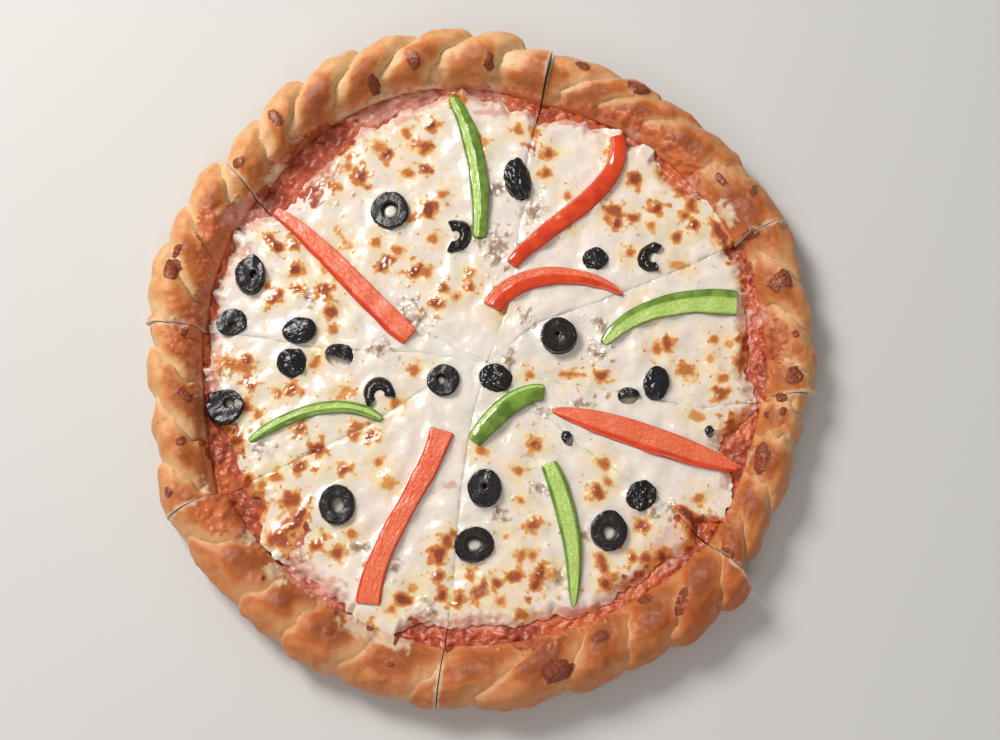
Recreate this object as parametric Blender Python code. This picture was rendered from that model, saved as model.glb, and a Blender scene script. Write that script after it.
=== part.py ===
"""Vegetarian pizza with a twisted rim, twelve inches across and cut into eight.

Four strokes of the wheel cut it, so every slice has its own dough, sauce and
cheese, and the slices still keep the round. Olive pieces and pepper strips lie
in beds pressed into the cheese. The sizes below are in millimetres and degrees,
seen from above with +Y to the back, and MM turns lengths into metres.
"""
import bisect
import math
import random

import bmesh
import bpy
from mathutils import Matrix, Vector

MM = 0.001

# The layers, from the table up
BASE_TOP = 6.0
SKIN_GAP = 0.3
SAUCE_THICK = 1.5
SAUCE_RISE = 1.8
CHEESE_THICK = 4.6
CHEESE_EDGE_THICK = 1.4
CHEESE_WAVE = 0.55
CHEESE_DROOP = 0.7
SAUCE_BOTTOM = BASE_TOP + SKIN_GAP
SAUCE_TOP = SAUCE_BOTTOM + SAUCE_THICK
CHEESE_BOTTOM = SAUCE_TOP + SKIN_GAP
CHEESE_TOP = CHEESE_BOTTOM + CHEESE_THICK
OLIVE_BED = CHEESE_TOP - 2.6
PEPPER_BED = CHEESE_TOP - 1.6

# The cuts: each one's bearing at five distances from the middle
CUT_RADII = (30.0, 60.0, 84.0, 100.0, 152.0)
CUTS = {
    "east": (-21.5, -15.2, -14.1, -13.7, -6.5),
    "northeast": (33.0, 26.2, 25.0, 24.7, 24.7),
    "north": (65.7, 74.5, 77.1, 78.0, 77.4),
    "northwest": (156.3, 151.3, 148.8, 147.3, 142.8),
    "west": (175.3, 177.0, 176.2, 174.8, 174.5),
    "southwest": (209.5, 211.6, 210.1, 209.7, 208.3),
    "south": (260.3, 261.0, 262.3, 262.9, 262.8),
    "southeast": (316.0, 316.7, 319.0, 320.5, 318.8),
}
CUT_GAP = 0.8
RIM_GAPS = {"north": 3.4, "southeast": 2.6, "northwest": 1.8}
PLAIN_RIM_GAP = 1.2
HUB = (1.8, -2.5)
TIP_BACK = 1.6

# The slices, anticlockwise: their cuts, the outer radius at the start, middle
# and end of the rim, the rim's width and height and the depth of its creases
SLICES = (
    ("northeast", "north", (153.0, 153.0, 152.5), 26.0, 23.0, 2.6),
    ("north", "northwest", (154.0, 162.5, 154.5), 28.0, 27.0, 4.6),
    ("northwest", "west", (157.5, 156.5, 153.5), 28.0, 25.5, 3.6),
    ("west", "southwest", (151.5, 150.5, 156.5), 24.0, 25.0, 3.4),
    ("southwest", "south", (155.5, 155.0, 156.5), 27.0, 25.5, 3.2),
    ("south", "southeast", (155.5, 153.0, 156.0), 27.0, 26.0, 3.6),
    ("southeast", "east", (150.0, 146.5, 146.5), 20.5, 24.0, 3.0),
    ("east", "northeast", (150.5, 150.0, 153.0), 22.5, 23.5, 2.6),
)

# The twist of the rim: the bearings of each crease between two lobes, low on the
# inner side and high at the back, so the lobes lean clockwise towards the outside
CREASES = (
    (1.0, -4.0), (11.0, 4.0), (21.0, 13.5), (42.0, 36.0), (57.0, 47.3), (65.5, 56.5),
    (74.5, 64.5), (88.0, 82.0), (99.8, 91.7), (110.3, 101.8), (119.5, 111.8),
    (130.0, 122.7), (136.0, 133.3), (147.5, 143.0), (158.0, 152.7), (169.5, 160.0),
    (176.5, 173.0), (185.5, 178.5), (196.5, 188.0), (206.5, 199.0), (219.5, 212.5),
    (229.5, 226.5), (237.0, 235.5), (250.0, 245.3), (264.0, 258.0), (278.5, 268.5),
    (289.0, 283.7), (298.0, 294.0), (310.0, 302.7), (319.5, 312.5), (327.5, 320.5),
    (336.5, 331.0), (345.5, 344.0), (353.8, 350.0),
)
CREASE_START = 45.0
CREASE_RUN = 95.0
CROWN = CREASE_START + CREASE_RUN / 2.0
LOBE_SKEW = 0.75
LOBE_ROUND = 0.55
LOBE_SWELL = 1.1
COLUMNS_PER_LOBE = 6
ROWS_ROUND_RIM = 10
RIM_AXIS = 11.0
RIM_FADE = 22.0
END_RUN = 9.0
SEED = 12

# The cheese: how far out it reaches, at every ten degrees of bearing
CHEESE_EDGE = (
    118.0, 121.0, 125.0, 128.0, 124.0, 127.5, 126.0, 124.0, 122.0, 125.0, 128.0, 120.5,
    116.0, 113.0, 117.0, 128.0, 125.0, 124.0, 121.0, 116.0, 112.7, 120.0, 126.0, 118.0,
    124.0, 129.6, 118.5, 115.0, 119.0, 119.0, 118.0, 117.4, 121.0, 126.0, 113.5, 121.0,
)
LEAST_RING = 2.6
CHEESE_ROWS = (12.0, 30.0, 45.0, 60.0, 72.0, 84.0, 100.0)
CHEESE_SHOULDER = 4.5
CHEESE_COLUMN = 11.0
SAUCE_COLUMN = 9.0

# Black olives: form, place, width and depth seen from above, height, turn
OLIVES = (
    ("ring", (-43.0, 69.3), (17.5, 18.4), 5.4, 0.0),
    ("cap", (-105.9, 38.0), (13.6, 18.4), 6.5, 0.0),
    ("cap", (-113.5, 15.9), (13.8, 12.6), 4.6, 10.0),
    ("cap", (-82.8, 11.9), (15.4, 12.4), 6.0, 8.0),
    ("cap", (-85.8, -3.0), (13.2, 13.4), 6.0, 0.0),
    ("half", (-64.5, 0.4), (13.4, 11.0), 4.6, -20.0),
    ("ring", (-114.7, -23.2), (16.8, 15.8), 5.6, 20.0),
    ("crescent", (-46.5, -16.6), (13.4, 14.4), 5.2, -10.0),
    ("cap", (15.9, 84.2), (12.4, 20.0), 8.4, 12.0),
    ("crescent", (-11.8, 57.2), (15.4, 13.4), 5.6, -115.0),
    ("cap", (51.2, 46.0), (12.0, 10.2), 5.6, 5.0),
    ("crescent", (76.7, 46.6), (14.0, 12.0), 5.8, 55.0),
    ("cap", (34.1, 9.1), (16.4, 16.6), 8.2, 0.0),
    ("ring", (-17.8, -11.0), (14.5, 14.8), 5.0, 0.0),
    ("cap", (5.6, -9.8), (15.0, 12.6), 5.6, -15.0),
    ("cap", (77.4, -12.6), (11.4, 15.4), 5.8, -12.0),
    ("half", (64.8, -18.2), (9.6, 8.0), 4.4, 0.0),
    ("half", (37.6, -37.6), (5.0, 7.6), 4.4, 30.0),
    ("half", (100.6, -34.6), (4.2, 5.6), 4.2, 15.0),
    ("ring", (-63.6, -67.1), (15.8, 17.8), 5.6, 0.0),
    ("cap", (1.0, -59.8), (15.0, 17.0), 6.4, 0.0),
    ("ring", (-3.6, -84.5), (17.6, 15.4), 5.6, 15.0),
    ("ring", (55.2, -78.5), (16.0, 17.6), 5.8, 0.0),
    ("cap", (69.6, -63.0), (14.0, 12.4), 5.4, 45.0),
)
OLIVE_HOLE = 0.4
OLIVE_SEGMENTS = 12
CRESCENT_SWEEP = 235.0
HALF_CUT = -0.12
OLIVE_BLACK = (0.012, 0.011, 0.014)

# Pepper strips: the curve they lie along, width at start, middle and end, height
RED_PEPPERS = (
    (((-96, 69), (-72, 52), (-55, 28), (-33, 9)), (5.0, 10.0, 9.5), 4.2),
    (((62, 106), (68, 78), (28, 64), (13, 43)), (7.0, 8.8, 6.0), 4.6),
    (((4, 23), (14, 42), (47, 41), (63, 29)), (9.4, 8.6, 3.0), 4.2),
    (((31, -25), (58, -31), (84, -42), (112, -51)), (4.0, 12.5, 5.0), 4.4),
    (((-18, -34), (-25, -60), (-47, -83), (-49, -110)), (11.0, 8.8, 11.5), 4.8),
)
GREEN_PEPPERS = (
    (((-15, 126), (-3, 105), (0, 81), (-2, 56)), (5.5, 8.8, 6.0), 5.0),
    (((54, 6), (68, 24), (94, 27), (115, 25)), (5.5, 10.0, 12.5), 4.6),
    (((-103, -39), (-87, -26), (-63, -17), (-45, -29)), (4.0, 6.0, 4.5), 4.2),
    (((-4, -39), (2, -31), (15, -16), (27, -17)), (7.0, 9.6, 7.5), 5.2),
    (((29, -49), (38, -69), (41, -89), (39, -111)), (7.5, 8.6, 3.0), 4.8),
)
PEPPER_STEPS = 7
PEPPER_END = 0.5
PEPPER_SECTION = (
    (-1.0, 0.4), (-0.8, 0.0), (0.8, 0.0), (1.0, 0.4),
    (0.78, 0.84), (0.3, 1.0), (-0.3, 1.0), (-0.78, 0.84),
)
PEPPER_RED = (0.62, 0.055, 0.018)
PEPPER_GREEN = (0.13, 0.31, 0.02)

# A bed is the topping's outline with a little room, open to the top
BED_ROOM = 0.45
BED_SIDES = 9
BED_OPEN = 30.0

DOUGH_COLOUR = (0.66, 0.38, 0.16)
SAUCE_COLOUR = (0.48, 0.07, 0.022)
CHEESE_COLOUR = (0.82, 0.75, 0.58)
SMOOTH_ANGLE = 38.0


def clear_scene():
    """Remove every object of the scene."""
    for obj in list(bpy.data.objects):
        bpy.data.objects.remove(obj, do_unlink=True)


def new_material(name, colour, roughness):
    """A plain surface of one colour."""
    material = bpy.data.materials.new(name)
    material.use_nodes = True
    shader = material.node_tree.nodes["Principled BSDF"]
    shader.inputs["Base Color"].default_value = (*colour, 1.0)
    shader.inputs["Roughness"].default_value = roughness
    shader.inputs["Metallic"].default_value = 0.0
    return material


def new_object(name, points, faces, material):
    """A closed object from points in millimetres and faces by point number."""
    mesh = bpy.data.meshes.new(name)
    mesh.from_pydata([Vector(point) * MM for point in points], [], faces)
    bm = bmesh.new()
    bm.from_mesh(mesh)
    bmesh.ops.recalc_face_normals(bm, faces=bm.faces)
    bm.to_mesh(mesh)
    bm.free()
    mesh.shade_smooth()
    mesh.set_sharp_from_angle(angle=math.radians(SMOOTH_ANGLE))
    mesh.materials.append(material)
    obj = bpy.data.objects.new(name, mesh)
    bpy.context.scene.collection.objects.link(obj)
    return obj


def polar(radius, bearing):
    """A point of the plan from its distance and bearing in degrees."""
    angle = math.radians(bearing)
    return Vector((radius * math.cos(angle), radius * math.sin(angle)))


def bearing_of(point, near):
    """A point's bearing in degrees, within half a turn of the one given."""
    bearing = math.degrees(math.atan2(point.y, point.x))
    return bearing + 360.0 * round((near - bearing) / 360.0)


def smooth_step(value):
    """Ease from 0 to 1 as the value goes from 0 to 1."""
    value = min(max(value, 0.0), 1.0)
    return value * value * (3.0 - 2.0 * value)


class Slice:
    """The plan of one slice: its two cut walls and the rim between them."""

    def __init__(self, number, spec):
        start, end, radii, rim_width, rim_height, crease = spec
        self.number = number
        self.radii = radii
        self.rim_width = rim_width
        self.rim_height = rim_height
        self.crease = crease
        self.start = CUTS[start][-1]
        self.end = CUTS[end][-1]
        turns = 360.0 if self.end < self.start else 0.0
        self.end += turns
        middle = (self.start + self.end) / 2.0
        self.tip = Vector(HUB) + polar(TIP_BACK, middle)
        self.walls = (
            self.wall(start, 0.0, 1.0),
            self.wall(end, turns, -1.0),
        )

    def wall(self, cut, turns, side):
        """The corners of a cut wall, half a gap to the slice's side of the cut."""
        rim_gap = RIM_GAPS.get(cut, PLAIN_RIM_GAP)
        corners = [self.tip]
        for radius, bearing in zip(CUT_RADII, CUTS[cut]):
            gap = rim_gap if radius == CUT_RADII[-1] else CUT_GAP
            lean = math.degrees(side * gap / 2.0 / radius)
            corners.append(polar(radius, bearing + turns + lean))
        return corners

    def wall_point(self, wall, radius):
        """Where a cut wall is at this distance from the middle."""
        corners = self.walls[wall]
        leg = 0
        while leg < len(CUT_RADII) - 1 and radius > CUT_RADII[leg]:
            leg += 1
        first = corners[leg]
        way = corners[leg + 1] - first
        along = first.dot(way)
        square = way.dot(way)
        reach = along * along - square * (first.dot(first) - radius * radius)
        return first + way * ((math.sqrt(reach) - along) / square)

    def place(self, share, radius):
        """A point this share of the way from the first wall to the second."""
        if share in (0.0, 1.0):
            return self.wall_point(int(share), radius)
        middle = (self.start + self.end) / 2.0
        first = bearing_of(self.wall_point(0, radius), middle)
        last = bearing_of(self.wall_point(1, radius), middle)
        return polar(radius, first + share * (last - first))

    def outer_radius(self, share):
        """The rim's mean outer radius, a curve through three values."""
        first, middle, last = self.radii
        straight = first + share * (last - first)
        bulge = middle - (first + last) / 2.0
        return straight + 4.0 * share * (1.0 - share) * bulge

    def foot_radius(self, share):
        """Where the rim's inner side meets the base."""
        return self.outer_radius(share) - self.rim_width

    def cheese_radius(self, share):
        """The ragged outer edge of the cheese."""
        bearing = (self.start + share * (self.end - self.start)) % 360.0
        step, rest = divmod(bearing / 10.0, 1.0)
        first = CHEESE_EDGE[int(step)]
        last = CHEESE_EDGE[(int(step) + 1) % len(CHEESE_EDGE)]
        return min(first + rest * (last - first), self.foot_radius(share) - LEAST_RING)

    def columns(self, spacing):
        """Even shares across the slice, about this far apart at the rim."""
        width = math.radians(self.end - self.start) * self.foot_radius(0.5)
        count = max(3, round(width / spacing))
        return [step / count for step in range(count + 1)]


def crease_bearings(turn):
    """The bearing of every crease, turn degrees round the rim's section."""
    way = min(max((turn - CREASE_START) / CREASE_RUN, 0.0), 1.0)
    return [low + way * (high - low) for low, high in CREASES]


def twist_phase(bearing, turn):
    """The place along the twist at this bearing, counted in lobes."""
    bearings = crease_bearings(turn)
    turns = math.floor((bearing - bearings[0]) / 360.0)
    rest = bearing - 360.0 * turns
    lobe = bisect.bisect_right(bearings, rest) - 1
    bearings.append(bearings[0] + 360.0)
    share = (rest - bearings[lobe]) / (bearings[lobe + 1] - bearings[lobe])
    return lobe + share + turns * len(CREASES)


def twist_bearing(phase, turn):
    """The bearing of a place along the twist."""
    bearings = crease_bearings(turn)
    bearings.append(bearings[0] + 360.0)
    lobe = math.floor(phase)
    turns, number = divmod(lobe, len(CREASES))
    width = bearings[number + 1] - bearings[number]
    return bearings[number] + (phase - lobe) * width + 360.0 * turns


def rim_point(plan, share, turn, swells):
    """Distance and height of the rim's skin, turn degrees round its section."""
    half_width = plan.rim_width / 2.0
    half_height = plan.rim_height - RIM_AXIS
    phase = twist_phase(plan.start + share * (plan.end - plan.start), turn)
    lobe = math.floor(phase)
    puff = max(math.sin(math.pi * (phase - lobe) ** LOBE_SKEW), 0.0) ** LOBE_ROUND
    fade = smooth_step(turn / RIM_FADE)
    swell = swells[lobe % len(CREASES)]
    lift = fade * (LOBE_SWELL * swell * puff - plan.crease * (1.0 - puff))
    angle = math.radians(turn)
    across = -half_width * math.cos(angle)
    up = half_height * math.sin(angle)
    grow = 1.0 + lift / math.hypot(across, up)
    radius = plan.outer_radius(share) - half_width + across * grow
    return radius, RIM_AXIS + up * grow


def rim_columns(plan):
    """Phases across the slice: its two ends, and steps that meet the creases."""
    first = twist_phase(plan.start, CROWN)
    last = twist_phase(plan.end, CROWN)
    step = math.ceil(first * COLUMNS_PER_LOBE)
    phases = [first]
    while step / COLUMNS_PER_LOBE < last:
        phase = step / COLUMNS_PER_LOBE
        if min(phase - first, last - phase) > 0.4 / COLUMNS_PER_LOBE:
            phases.append(phase)
        step += 1
    return phases + [last]


def rim_grid(plan, swells):
    """Rows of rim points from the inner foot, over the crown, to the table."""
    half_height = plan.rim_height - RIM_AXIS
    inner = math.degrees(math.asin((BASE_TOP - RIM_AXIS) / half_height))
    outer = 180.0 + math.degrees(math.asin(RIM_AXIS / half_height))
    phases = rim_columns(plan)
    rows = []
    for row in range(ROWS_ROUND_RIM + 1):
        turn = inner + (outer - inner) * row / ROWS_ROUND_RIM
        points = []
        for column, phase in enumerate(phases):
            bearing = twist_bearing(phase, CROWN)
            lean = twist_bearing(phase, turn) - bearing
            near_end = min(bearing - plan.start, plan.end - bearing) / END_RUN
            bearing += lean * min(max(near_end, 0.0), 1.0)
            share = (bearing - plan.start) / (plan.end - plan.start)
            if column in (0, len(phases) - 1):
                share = float(column > 0)
            share = min(max(share, 0.0), 1.0)
            radius, height = rim_point(plan, share, turn, swells)
            if row == 0:
                radius, height = plan.foot_radius(share), BASE_TOP
            height = 0.0 if row == ROWS_ROUND_RIM else max(height, 1.0)
            points.append((*plan.place(share, radius), height))
        rows.append(points)
    return rows


def dough_slice(plan, swells, material):
    """The base and its twisted rim, between the two cut walls."""
    rows = rim_grid(plan, swells)
    wide = len(rows[0])
    points = [point for row in rows for point in row]
    faces = []
    for row in range(len(rows) - 1):
        for column in range(wide - 1):
            corner = row * wide + column
            faces.append((corner, corner + 1, corner + wide + 1, corner + wide))
    foot = list(range(wide))
    table = list(range(len(points) - wide, len(points)))
    inner = CUT_RADII[:-1]
    ladders = []
    for wall in (0, 1):
        ladder = []
        for radius in inner:
            place = plan.wall_point(wall, radius)
            ladder.append((len(points), len(points) + 1))
            points += [(*place, BASE_TOP), (*place, 0.0)]
        ladders.append(ladder)
    tip = (len(points), len(points) + 1)
    points += [(*plan.tip, BASE_TOP), (*plan.tip, 0.0)]
    for level, edge in ((0, foot), (1, table)):
        near = [rung[level] for rung in ladders[0]]
        far = [rung[level] for rung in reversed(ladders[1])]
        faces.append((tip[level], *near, *edge, *far))
    for wall, ladder in enumerate(ladders):
        rungs = [tip] + ladder
        for near, far in zip(rungs, rungs[1:]):
            faces.append((near[0], far[0], far[1], near[1]))
        side = [row * wide + wall * (wide - 1) for row in range(len(rows))]
        faces.append((ladder[-1][0], *side, ladder[-1][1]))
    return new_object(f"dough_slice_{plan.number}", points, faces, material)


def layer(name, plan, shares, rows, bottom, material):
    """A slab over the slice: rows of (radius, height) per column, flat below.

    The first row narrows to the slice's tip, and the bottom is flat.
    """
    points = [(*plan.tip, rows[0][1](0.5)), (*plan.tip, bottom)]
    top = []
    for radius_at, height_at in rows[1:]:
        top.append(range(len(points), len(points) + len(shares)))
        for share in shares:
            radius = radius_at(share)
            points.append((*plan.place(share, radius), height_at(share)))
    faces = []
    for near, far in zip([None] + top, top):
        for column in range(len(shares) - 1):
            if near is None:
                faces.append((0, far[column], far[column + 1]))
            else:
                faces.append((near[column], far[column], far[column + 1], near[column + 1]))
    under = []
    for row in top[:-1]:
        under.append((len(points), len(points) + 1))
        for end in (0, -1):
            points.append((*points[row[end]][:2], bottom))
    edge = range(len(points), len(points) + len(shares))
    points += [(*points[number][:2], bottom) for number in top[-1]]
    under.append((edge[0], edge[-1]))
    near_side = [pair[0] for pair in under[:-1]]
    far_side = [pair[1] for pair in reversed(under[:-1])]
    faces.append((1, *near_side, *edge, *far_side))
    for column in range(len(shares) - 1):
        faces.append((top[-1][column], edge[column], edge[column + 1], top[-1][column + 1]))
    for side, end in ((0, 0), (1, -1)):
        upper = [0] + [row[end] for row in top]
        lower = [1] + [pair[side] for pair in under]
        for step in range(len(upper) - 1):
            faces.append((upper[step], upper[step + 1], lower[step + 1], lower[step]))
    return new_object(name, points, faces, material)


def sauce_slice(plan, material):
    """A thin layer over the base that banks up against the rim."""
    flat = [(lambda share, at=radius: at, lambda share: SAUCE_TOP)
            for radius in (0.0,) + CUT_RADII[:-1]]
    bank = [
        (lambda share: plan.cheese_radius(share) + 1.5, lambda share: SAUCE_TOP),
        (lambda share: plan.foot_radius(share) - SKIN_GAP,
         lambda share: SAUCE_TOP + SAUCE_RISE),
    ]
    shares = plan.columns(SAUCE_COLUMN)
    return layer(f"sauce_slice_{plan.number}", plan, shares, flat + bank, SAUCE_BOTTOM, material)


def cheese_height(plan, share, radius):
    """The top of the cheese: soft waves that droop at the cuts."""
    spot = plan.place(share, radius)
    wave = math.sin(spot.x / 9.0 + 0.6) * math.cos(spot.y / 8.0)
    wave += 0.7 * math.sin((spot.x + spot.y) / 14.0)
    droop = CHEESE_DROOP if share in (0.0, 1.0) else 0.0
    return CHEESE_TOP + CHEESE_WAVE * wave - droop


def cheese_slice(plan, material):
    """A melted slab with a ragged edge, thin where it runs out on the sauce."""
    rows = [(None, lambda share: CHEESE_TOP - CHEESE_DROOP)]
    for radius in CHEESE_ROWS:
        rows.append((
            lambda share, at=radius: at,
            lambda share, at=radius: cheese_height(plan, share, at),
        ))
    rows.append((
        lambda share: max(plan.cheese_radius(share) - CHEESE_SHOULDER, CHEESE_ROWS[-1] + 2.0),
        lambda share: cheese_height(plan, share, plan.cheese_radius(share)),
    ))
    rows.append((plan.cheese_radius, lambda share: CHEESE_BOTTOM + CHEESE_EDGE_THICK))
    shares = plan.columns(CHEESE_COLUMN)
    return layer(f"cheese_slice_{plan.number}", plan, shares, rows, CHEESE_BOTTOM, material)


def turned(profile, closed):
    """Turn a profile of (radius, height) about Z; an open one ends on the axis."""
    points, faces, loops = [], [], []
    for radius, height in profile:
        if radius == 0.0:
            loops.append([len(points)] * OLIVE_SEGMENTS)
            points.append((0.0, 0.0, height))
            continue
        loops.append(list(range(len(points), len(points) + OLIVE_SEGMENTS)))
        for step in range(OLIVE_SEGMENTS):
            points.append((*polar(radius, 360.0 * step / OLIVE_SEGMENTS), height))
    pairs = list(zip(loops, loops[1:]))
    if closed:
        pairs.append((loops[-1], loops[0]))
    for near, far in pairs:
        for step in range(OLIVE_SEGMENTS):
            after = (step + 1) % OLIVE_SEGMENTS
            ring = (near[step], near[after], far[after], far[step])
            faces.append(tuple(dict.fromkeys(ring)))
    return points, faces


def olive_ring():
    """A slice from the middle of an olive, with the hole of its stone."""
    hole = OLIVE_HOLE
    profile = [(hole, 0.1), (0.9, 0.0), (1.0, 0.3), (0.98, 0.75), (0.85, 1.0), (hole + 0.07, 0.93)]
    return turned(profile, True)


def olive_cap():
    """The rounded end of an olive."""
    profile = [(0.0, 0.0), (0.88, 0.0), (1.0, 0.35), (0.88, 0.72), (0.5, 0.96), (0.0, 1.0)]
    return turned(profile, False)


def olive_half():
    """An end piece broken flat along one side."""
    points, faces = olive_cap()
    bm = bmesh.new()
    corners = [bm.verts.new(point) for point in points]
    for face in faces:
        bm.faces.new([corners[number] for number in face])
    everything = bm.verts[:] + bm.edges[:] + bm.faces[:]
    cut = bmesh.ops.bisect_plane(
        bm, geom=everything, plane_co=(0.0, HALF_CUT, 0.0), plane_no=(0.0, -1.0, 0.0),
        clear_outer=True)
    rim = [item for item in cut["geom_cut"] if isinstance(item, bmesh.types.BMEdge)]
    bmesh.ops.edgeloop_fill(bm, edges=rim)
    bm.verts.index_update()
    points = [tuple(corner.co) for corner in bm.verts]
    faces = [tuple(corner.index for corner in face.verts) for face in bm.faces]
    bm.free()
    return points, faces


def olive_crescent():
    """A broken ring, open on one side."""
    section = [(0.42, 0.1), (0.85, 0.0), (1.0, 0.4), (0.84, 1.0), (0.42, 0.9)]
    steps = 8
    points, faces = [], []
    for step in range(steps + 1):
        bearing = CRESCENT_SWEEP * step / steps
        taper = 1.0 - 0.25 * abs(2.0 * step / steps - 1.0) ** 3
        for radius, height in section:
            points.append((*polar(0.71 + (radius - 0.71) * taper, bearing), height * taper))
    size = len(section)
    for step in range(steps):
        for side in range(size):
            after = (side + 1) % size
            low, high = step * size, (step + 1) * size
            faces.append((low + side, low + after, high + after, high + side))
    faces.append(tuple(range(size)))
    faces.append(tuple(range(steps * size, (steps + 1) * size)))
    return points, faces


OLIVE_FORMS = {
    "ring": olive_ring, "cap": olive_cap, "half": olive_half, "crescent": olive_crescent,
}


def olive(number, spec, material):
    """One piece of olive, sunk in its bed."""
    form, place, size, height, turn = spec
    points, faces = OLIVE_FORMS[form]()
    scaled = [(x * size[0] / 2.0, y * size[1] / 2.0, z * height) for x, y, z in points]
    if form == "crescent":
        middle = sum((Vector(point) for point in scaled), Vector()) / len(scaled)
        scaled = [(x - middle.x, y - middle.y, z) for x, y, z in scaled]
    obj = new_object(f"olive_{number:02d}", scaled, faces, material)
    obj.location = Vector((*place, OLIVE_BED)) * MM
    obj.rotation_euler = (0.0, 0.0, math.radians(turn))
    return obj


def curve_point(controls, share):
    """A point and the way ahead on a cubic curve."""
    a, b, c, d = (Vector(control) for control in controls)
    rest = 1.0 - share
    point = a * rest ** 3 + 3.0 * b * rest ** 2 * share + 3.0 * c * rest * share ** 2 + d * share ** 3
    ahead = (b - a) * rest ** 2 + 2.0 * (c - b) * rest * share + (d - c) * share ** 2
    return point, ahead.normalized()


def strip_stations(controls, widths):
    """Point, direction and half width at each step, closer near the ends."""
    first, middle, last = widths
    stations = []
    for step in range(PEPPER_STEPS + 1):
        share = (1.0 - math.cos(math.pi * step / PEPPER_STEPS)) / 2.0
        width = first + share * (last - first)
        width += 4.0 * share * (1.0 - share) * (middle - (first + last) / 2.0)
        if step in (0, PEPPER_STEPS):
            width *= PEPPER_END
        stations.append((*curve_point(controls, share), width / 2.0))
    return stations


def pepper_strip(name, spec, material):
    """A bent strip of pepper, domed above and flat below."""
    controls, widths, height = spec
    origin = curve_point(controls, 0.5)[0]
    points, faces = [], []
    for place, ahead, half in strip_stations(controls, widths):
        aside = Vector((-ahead.y, ahead.x))
        low = min(1.0, 0.45 + half / max(widths))
        for across, up in PEPPER_SECTION:
            spot = place - origin + aside * across * half
            points.append((*spot, up * height * low))
    size = len(PEPPER_SECTION)
    for step in range(PEPPER_STEPS):
        for side in range(size):
            after = (side + 1) % size
            low, high = step * size, (step + 1) * size
            faces.append((low + side, low + after, high + after, high + side))
    faces.append(tuple(range(size)))
    faces.append(tuple(range(PEPPER_STEPS * size, (PEPPER_STEPS + 1) * size)))
    obj = new_object(name, points, faces, material)
    obj.location = Vector((*origin, PEPPER_BED)) * MM
    return obj


def bed(name, outline, floor):
    """A cutter with this outline, from the bed's floor to above the cheese."""
    count = len(outline)
    points = [(*spot, height) for height in (floor, floor + BED_OPEN) for spot in outline]
    faces = [tuple(range(count)), tuple(range(count, 2 * count))]
    for side in range(count):
        after = (side + 1) % count
        faces.append((side, after, after + count, side + count))
    mesh = bpy.data.meshes.new(name)
    mesh.from_pydata([Vector(point) * MM for point in points], [], faces)
    bm = bmesh.new()
    bm.from_mesh(mesh)
    bmesh.ops.recalc_face_normals(bm, faces=bm.faces)
    bm.to_mesh(mesh)
    bm.free()
    cutter = bpy.data.objects.new(name, mesh)
    cutter.hide_render = True
    cutter.display_type = "WIRE"
    return cutter


def olive_bed(number, spec):
    """The bed of an olive: a many-sided outline just clear of the piece."""
    _, place, size, _, turn = spec
    outline = []
    around = 1.0 / math.cos(math.pi / BED_SIDES)
    for side in range(BED_SIDES):
        bearing = 360.0 * side / BED_SIDES
        spot = Vector((
            math.cos(math.radians(bearing)) * (size[0] / 2.0 + BED_ROOM) * around,
            math.sin(math.radians(bearing)) * (size[1] / 2.0 + BED_ROOM) * around,
        ))
        outline.append(Vector(place) + spot @ Matrix.Rotation(-math.radians(turn), 2))
    return bed(f"olive_bed_{number:02d}", outline, OLIVE_BED - SKIN_GAP)


def pepper_bed(name, spec):
    """The bed of a strip: the strip's own outline, a little wider and longer."""
    controls, widths, _ = spec
    stations = strip_stations(controls, widths)
    left, right = [], []
    for step, (place, ahead, half) in enumerate(stations):
        aside = Vector((-ahead.y, ahead.x))
        end = (step == PEPPER_STEPS) - (step == 0)
        middle = place + ahead * BED_ROOM * end
        left.append(middle + aside * (half + BED_ROOM))
        right.append(middle - aside * (half + BED_ROOM))
    return bed(name, left + right[::-1], PEPPER_BED - SKIN_GAP)


def stand_on_origin(objects):
    """Move all of it so that the bottom of its box is centred on the origin."""
    bpy.context.view_layer.update()
    corners = [obj.matrix_world @ vertex.co for obj in objects for vertex in obj.data.vertices]
    middle = Vector()
    for axis in (0, 1):
        low = min(corner[axis] for corner in corners)
        high = max(corner[axis] for corner in corners)
        middle[axis] = (low + high) / 2.0
    for obj in bpy.data.objects:
        obj.location -= middle


def main():
    """Build the slices, then the toppings and the beds that they press."""
    clear_scene()
    rng = random.Random(SEED)
    swells = [rng.uniform(-1.0, 1.0) for _ in CREASES]
    dough = new_material("baked_dough", DOUGH_COLOUR, 0.62)
    sauce = new_material("tomato_sauce", SAUCE_COLOUR, 0.35)
    cheese = new_material("melted_cheese", CHEESE_COLOUR, 0.38)
    black = new_material("black_olive", OLIVE_BLACK, 0.28)
    red = new_material("red_pepper", PEPPER_RED, 0.3)
    green = new_material("green_pepper", PEPPER_GREEN, 0.3)

    slabs = []
    objects = []
    for number, spec in enumerate(SLICES, start=1):
        plan = Slice(number, spec)
        objects.append(dough_slice(plan, swells, dough))
        objects.append(sauce_slice(plan, sauce))
        slabs.append(cheese_slice(plan, cheese))

    beds = bpy.data.collections.new("topping_beds")
    bpy.context.scene.collection.children.link(beds)
    for number, spec in enumerate(OLIVES, start=1):
        objects.append(olive(number, spec, black))
        beds.objects.link(olive_bed(number, spec))
    for name, specs, material in (("red", RED_PEPPERS, red), ("green", GREEN_PEPPERS, green)):
        for number, spec in enumerate(specs, start=1):
            objects.append(pepper_strip(f"{name}_pepper_{number}", spec, material))
            beds.objects.link(pepper_bed(f"{name}_bed_{number}", spec))

    for slab in slabs:
        pockets = slab.modifiers.new("topping_beds", "BOOLEAN")
        pockets.operation = "DIFFERENCE"
        pockets.operand_type = "COLLECTION"
        pockets.collection = beds
        pockets.solver = "EXACT"
    stand_on_origin(objects + slabs)


main()
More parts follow.
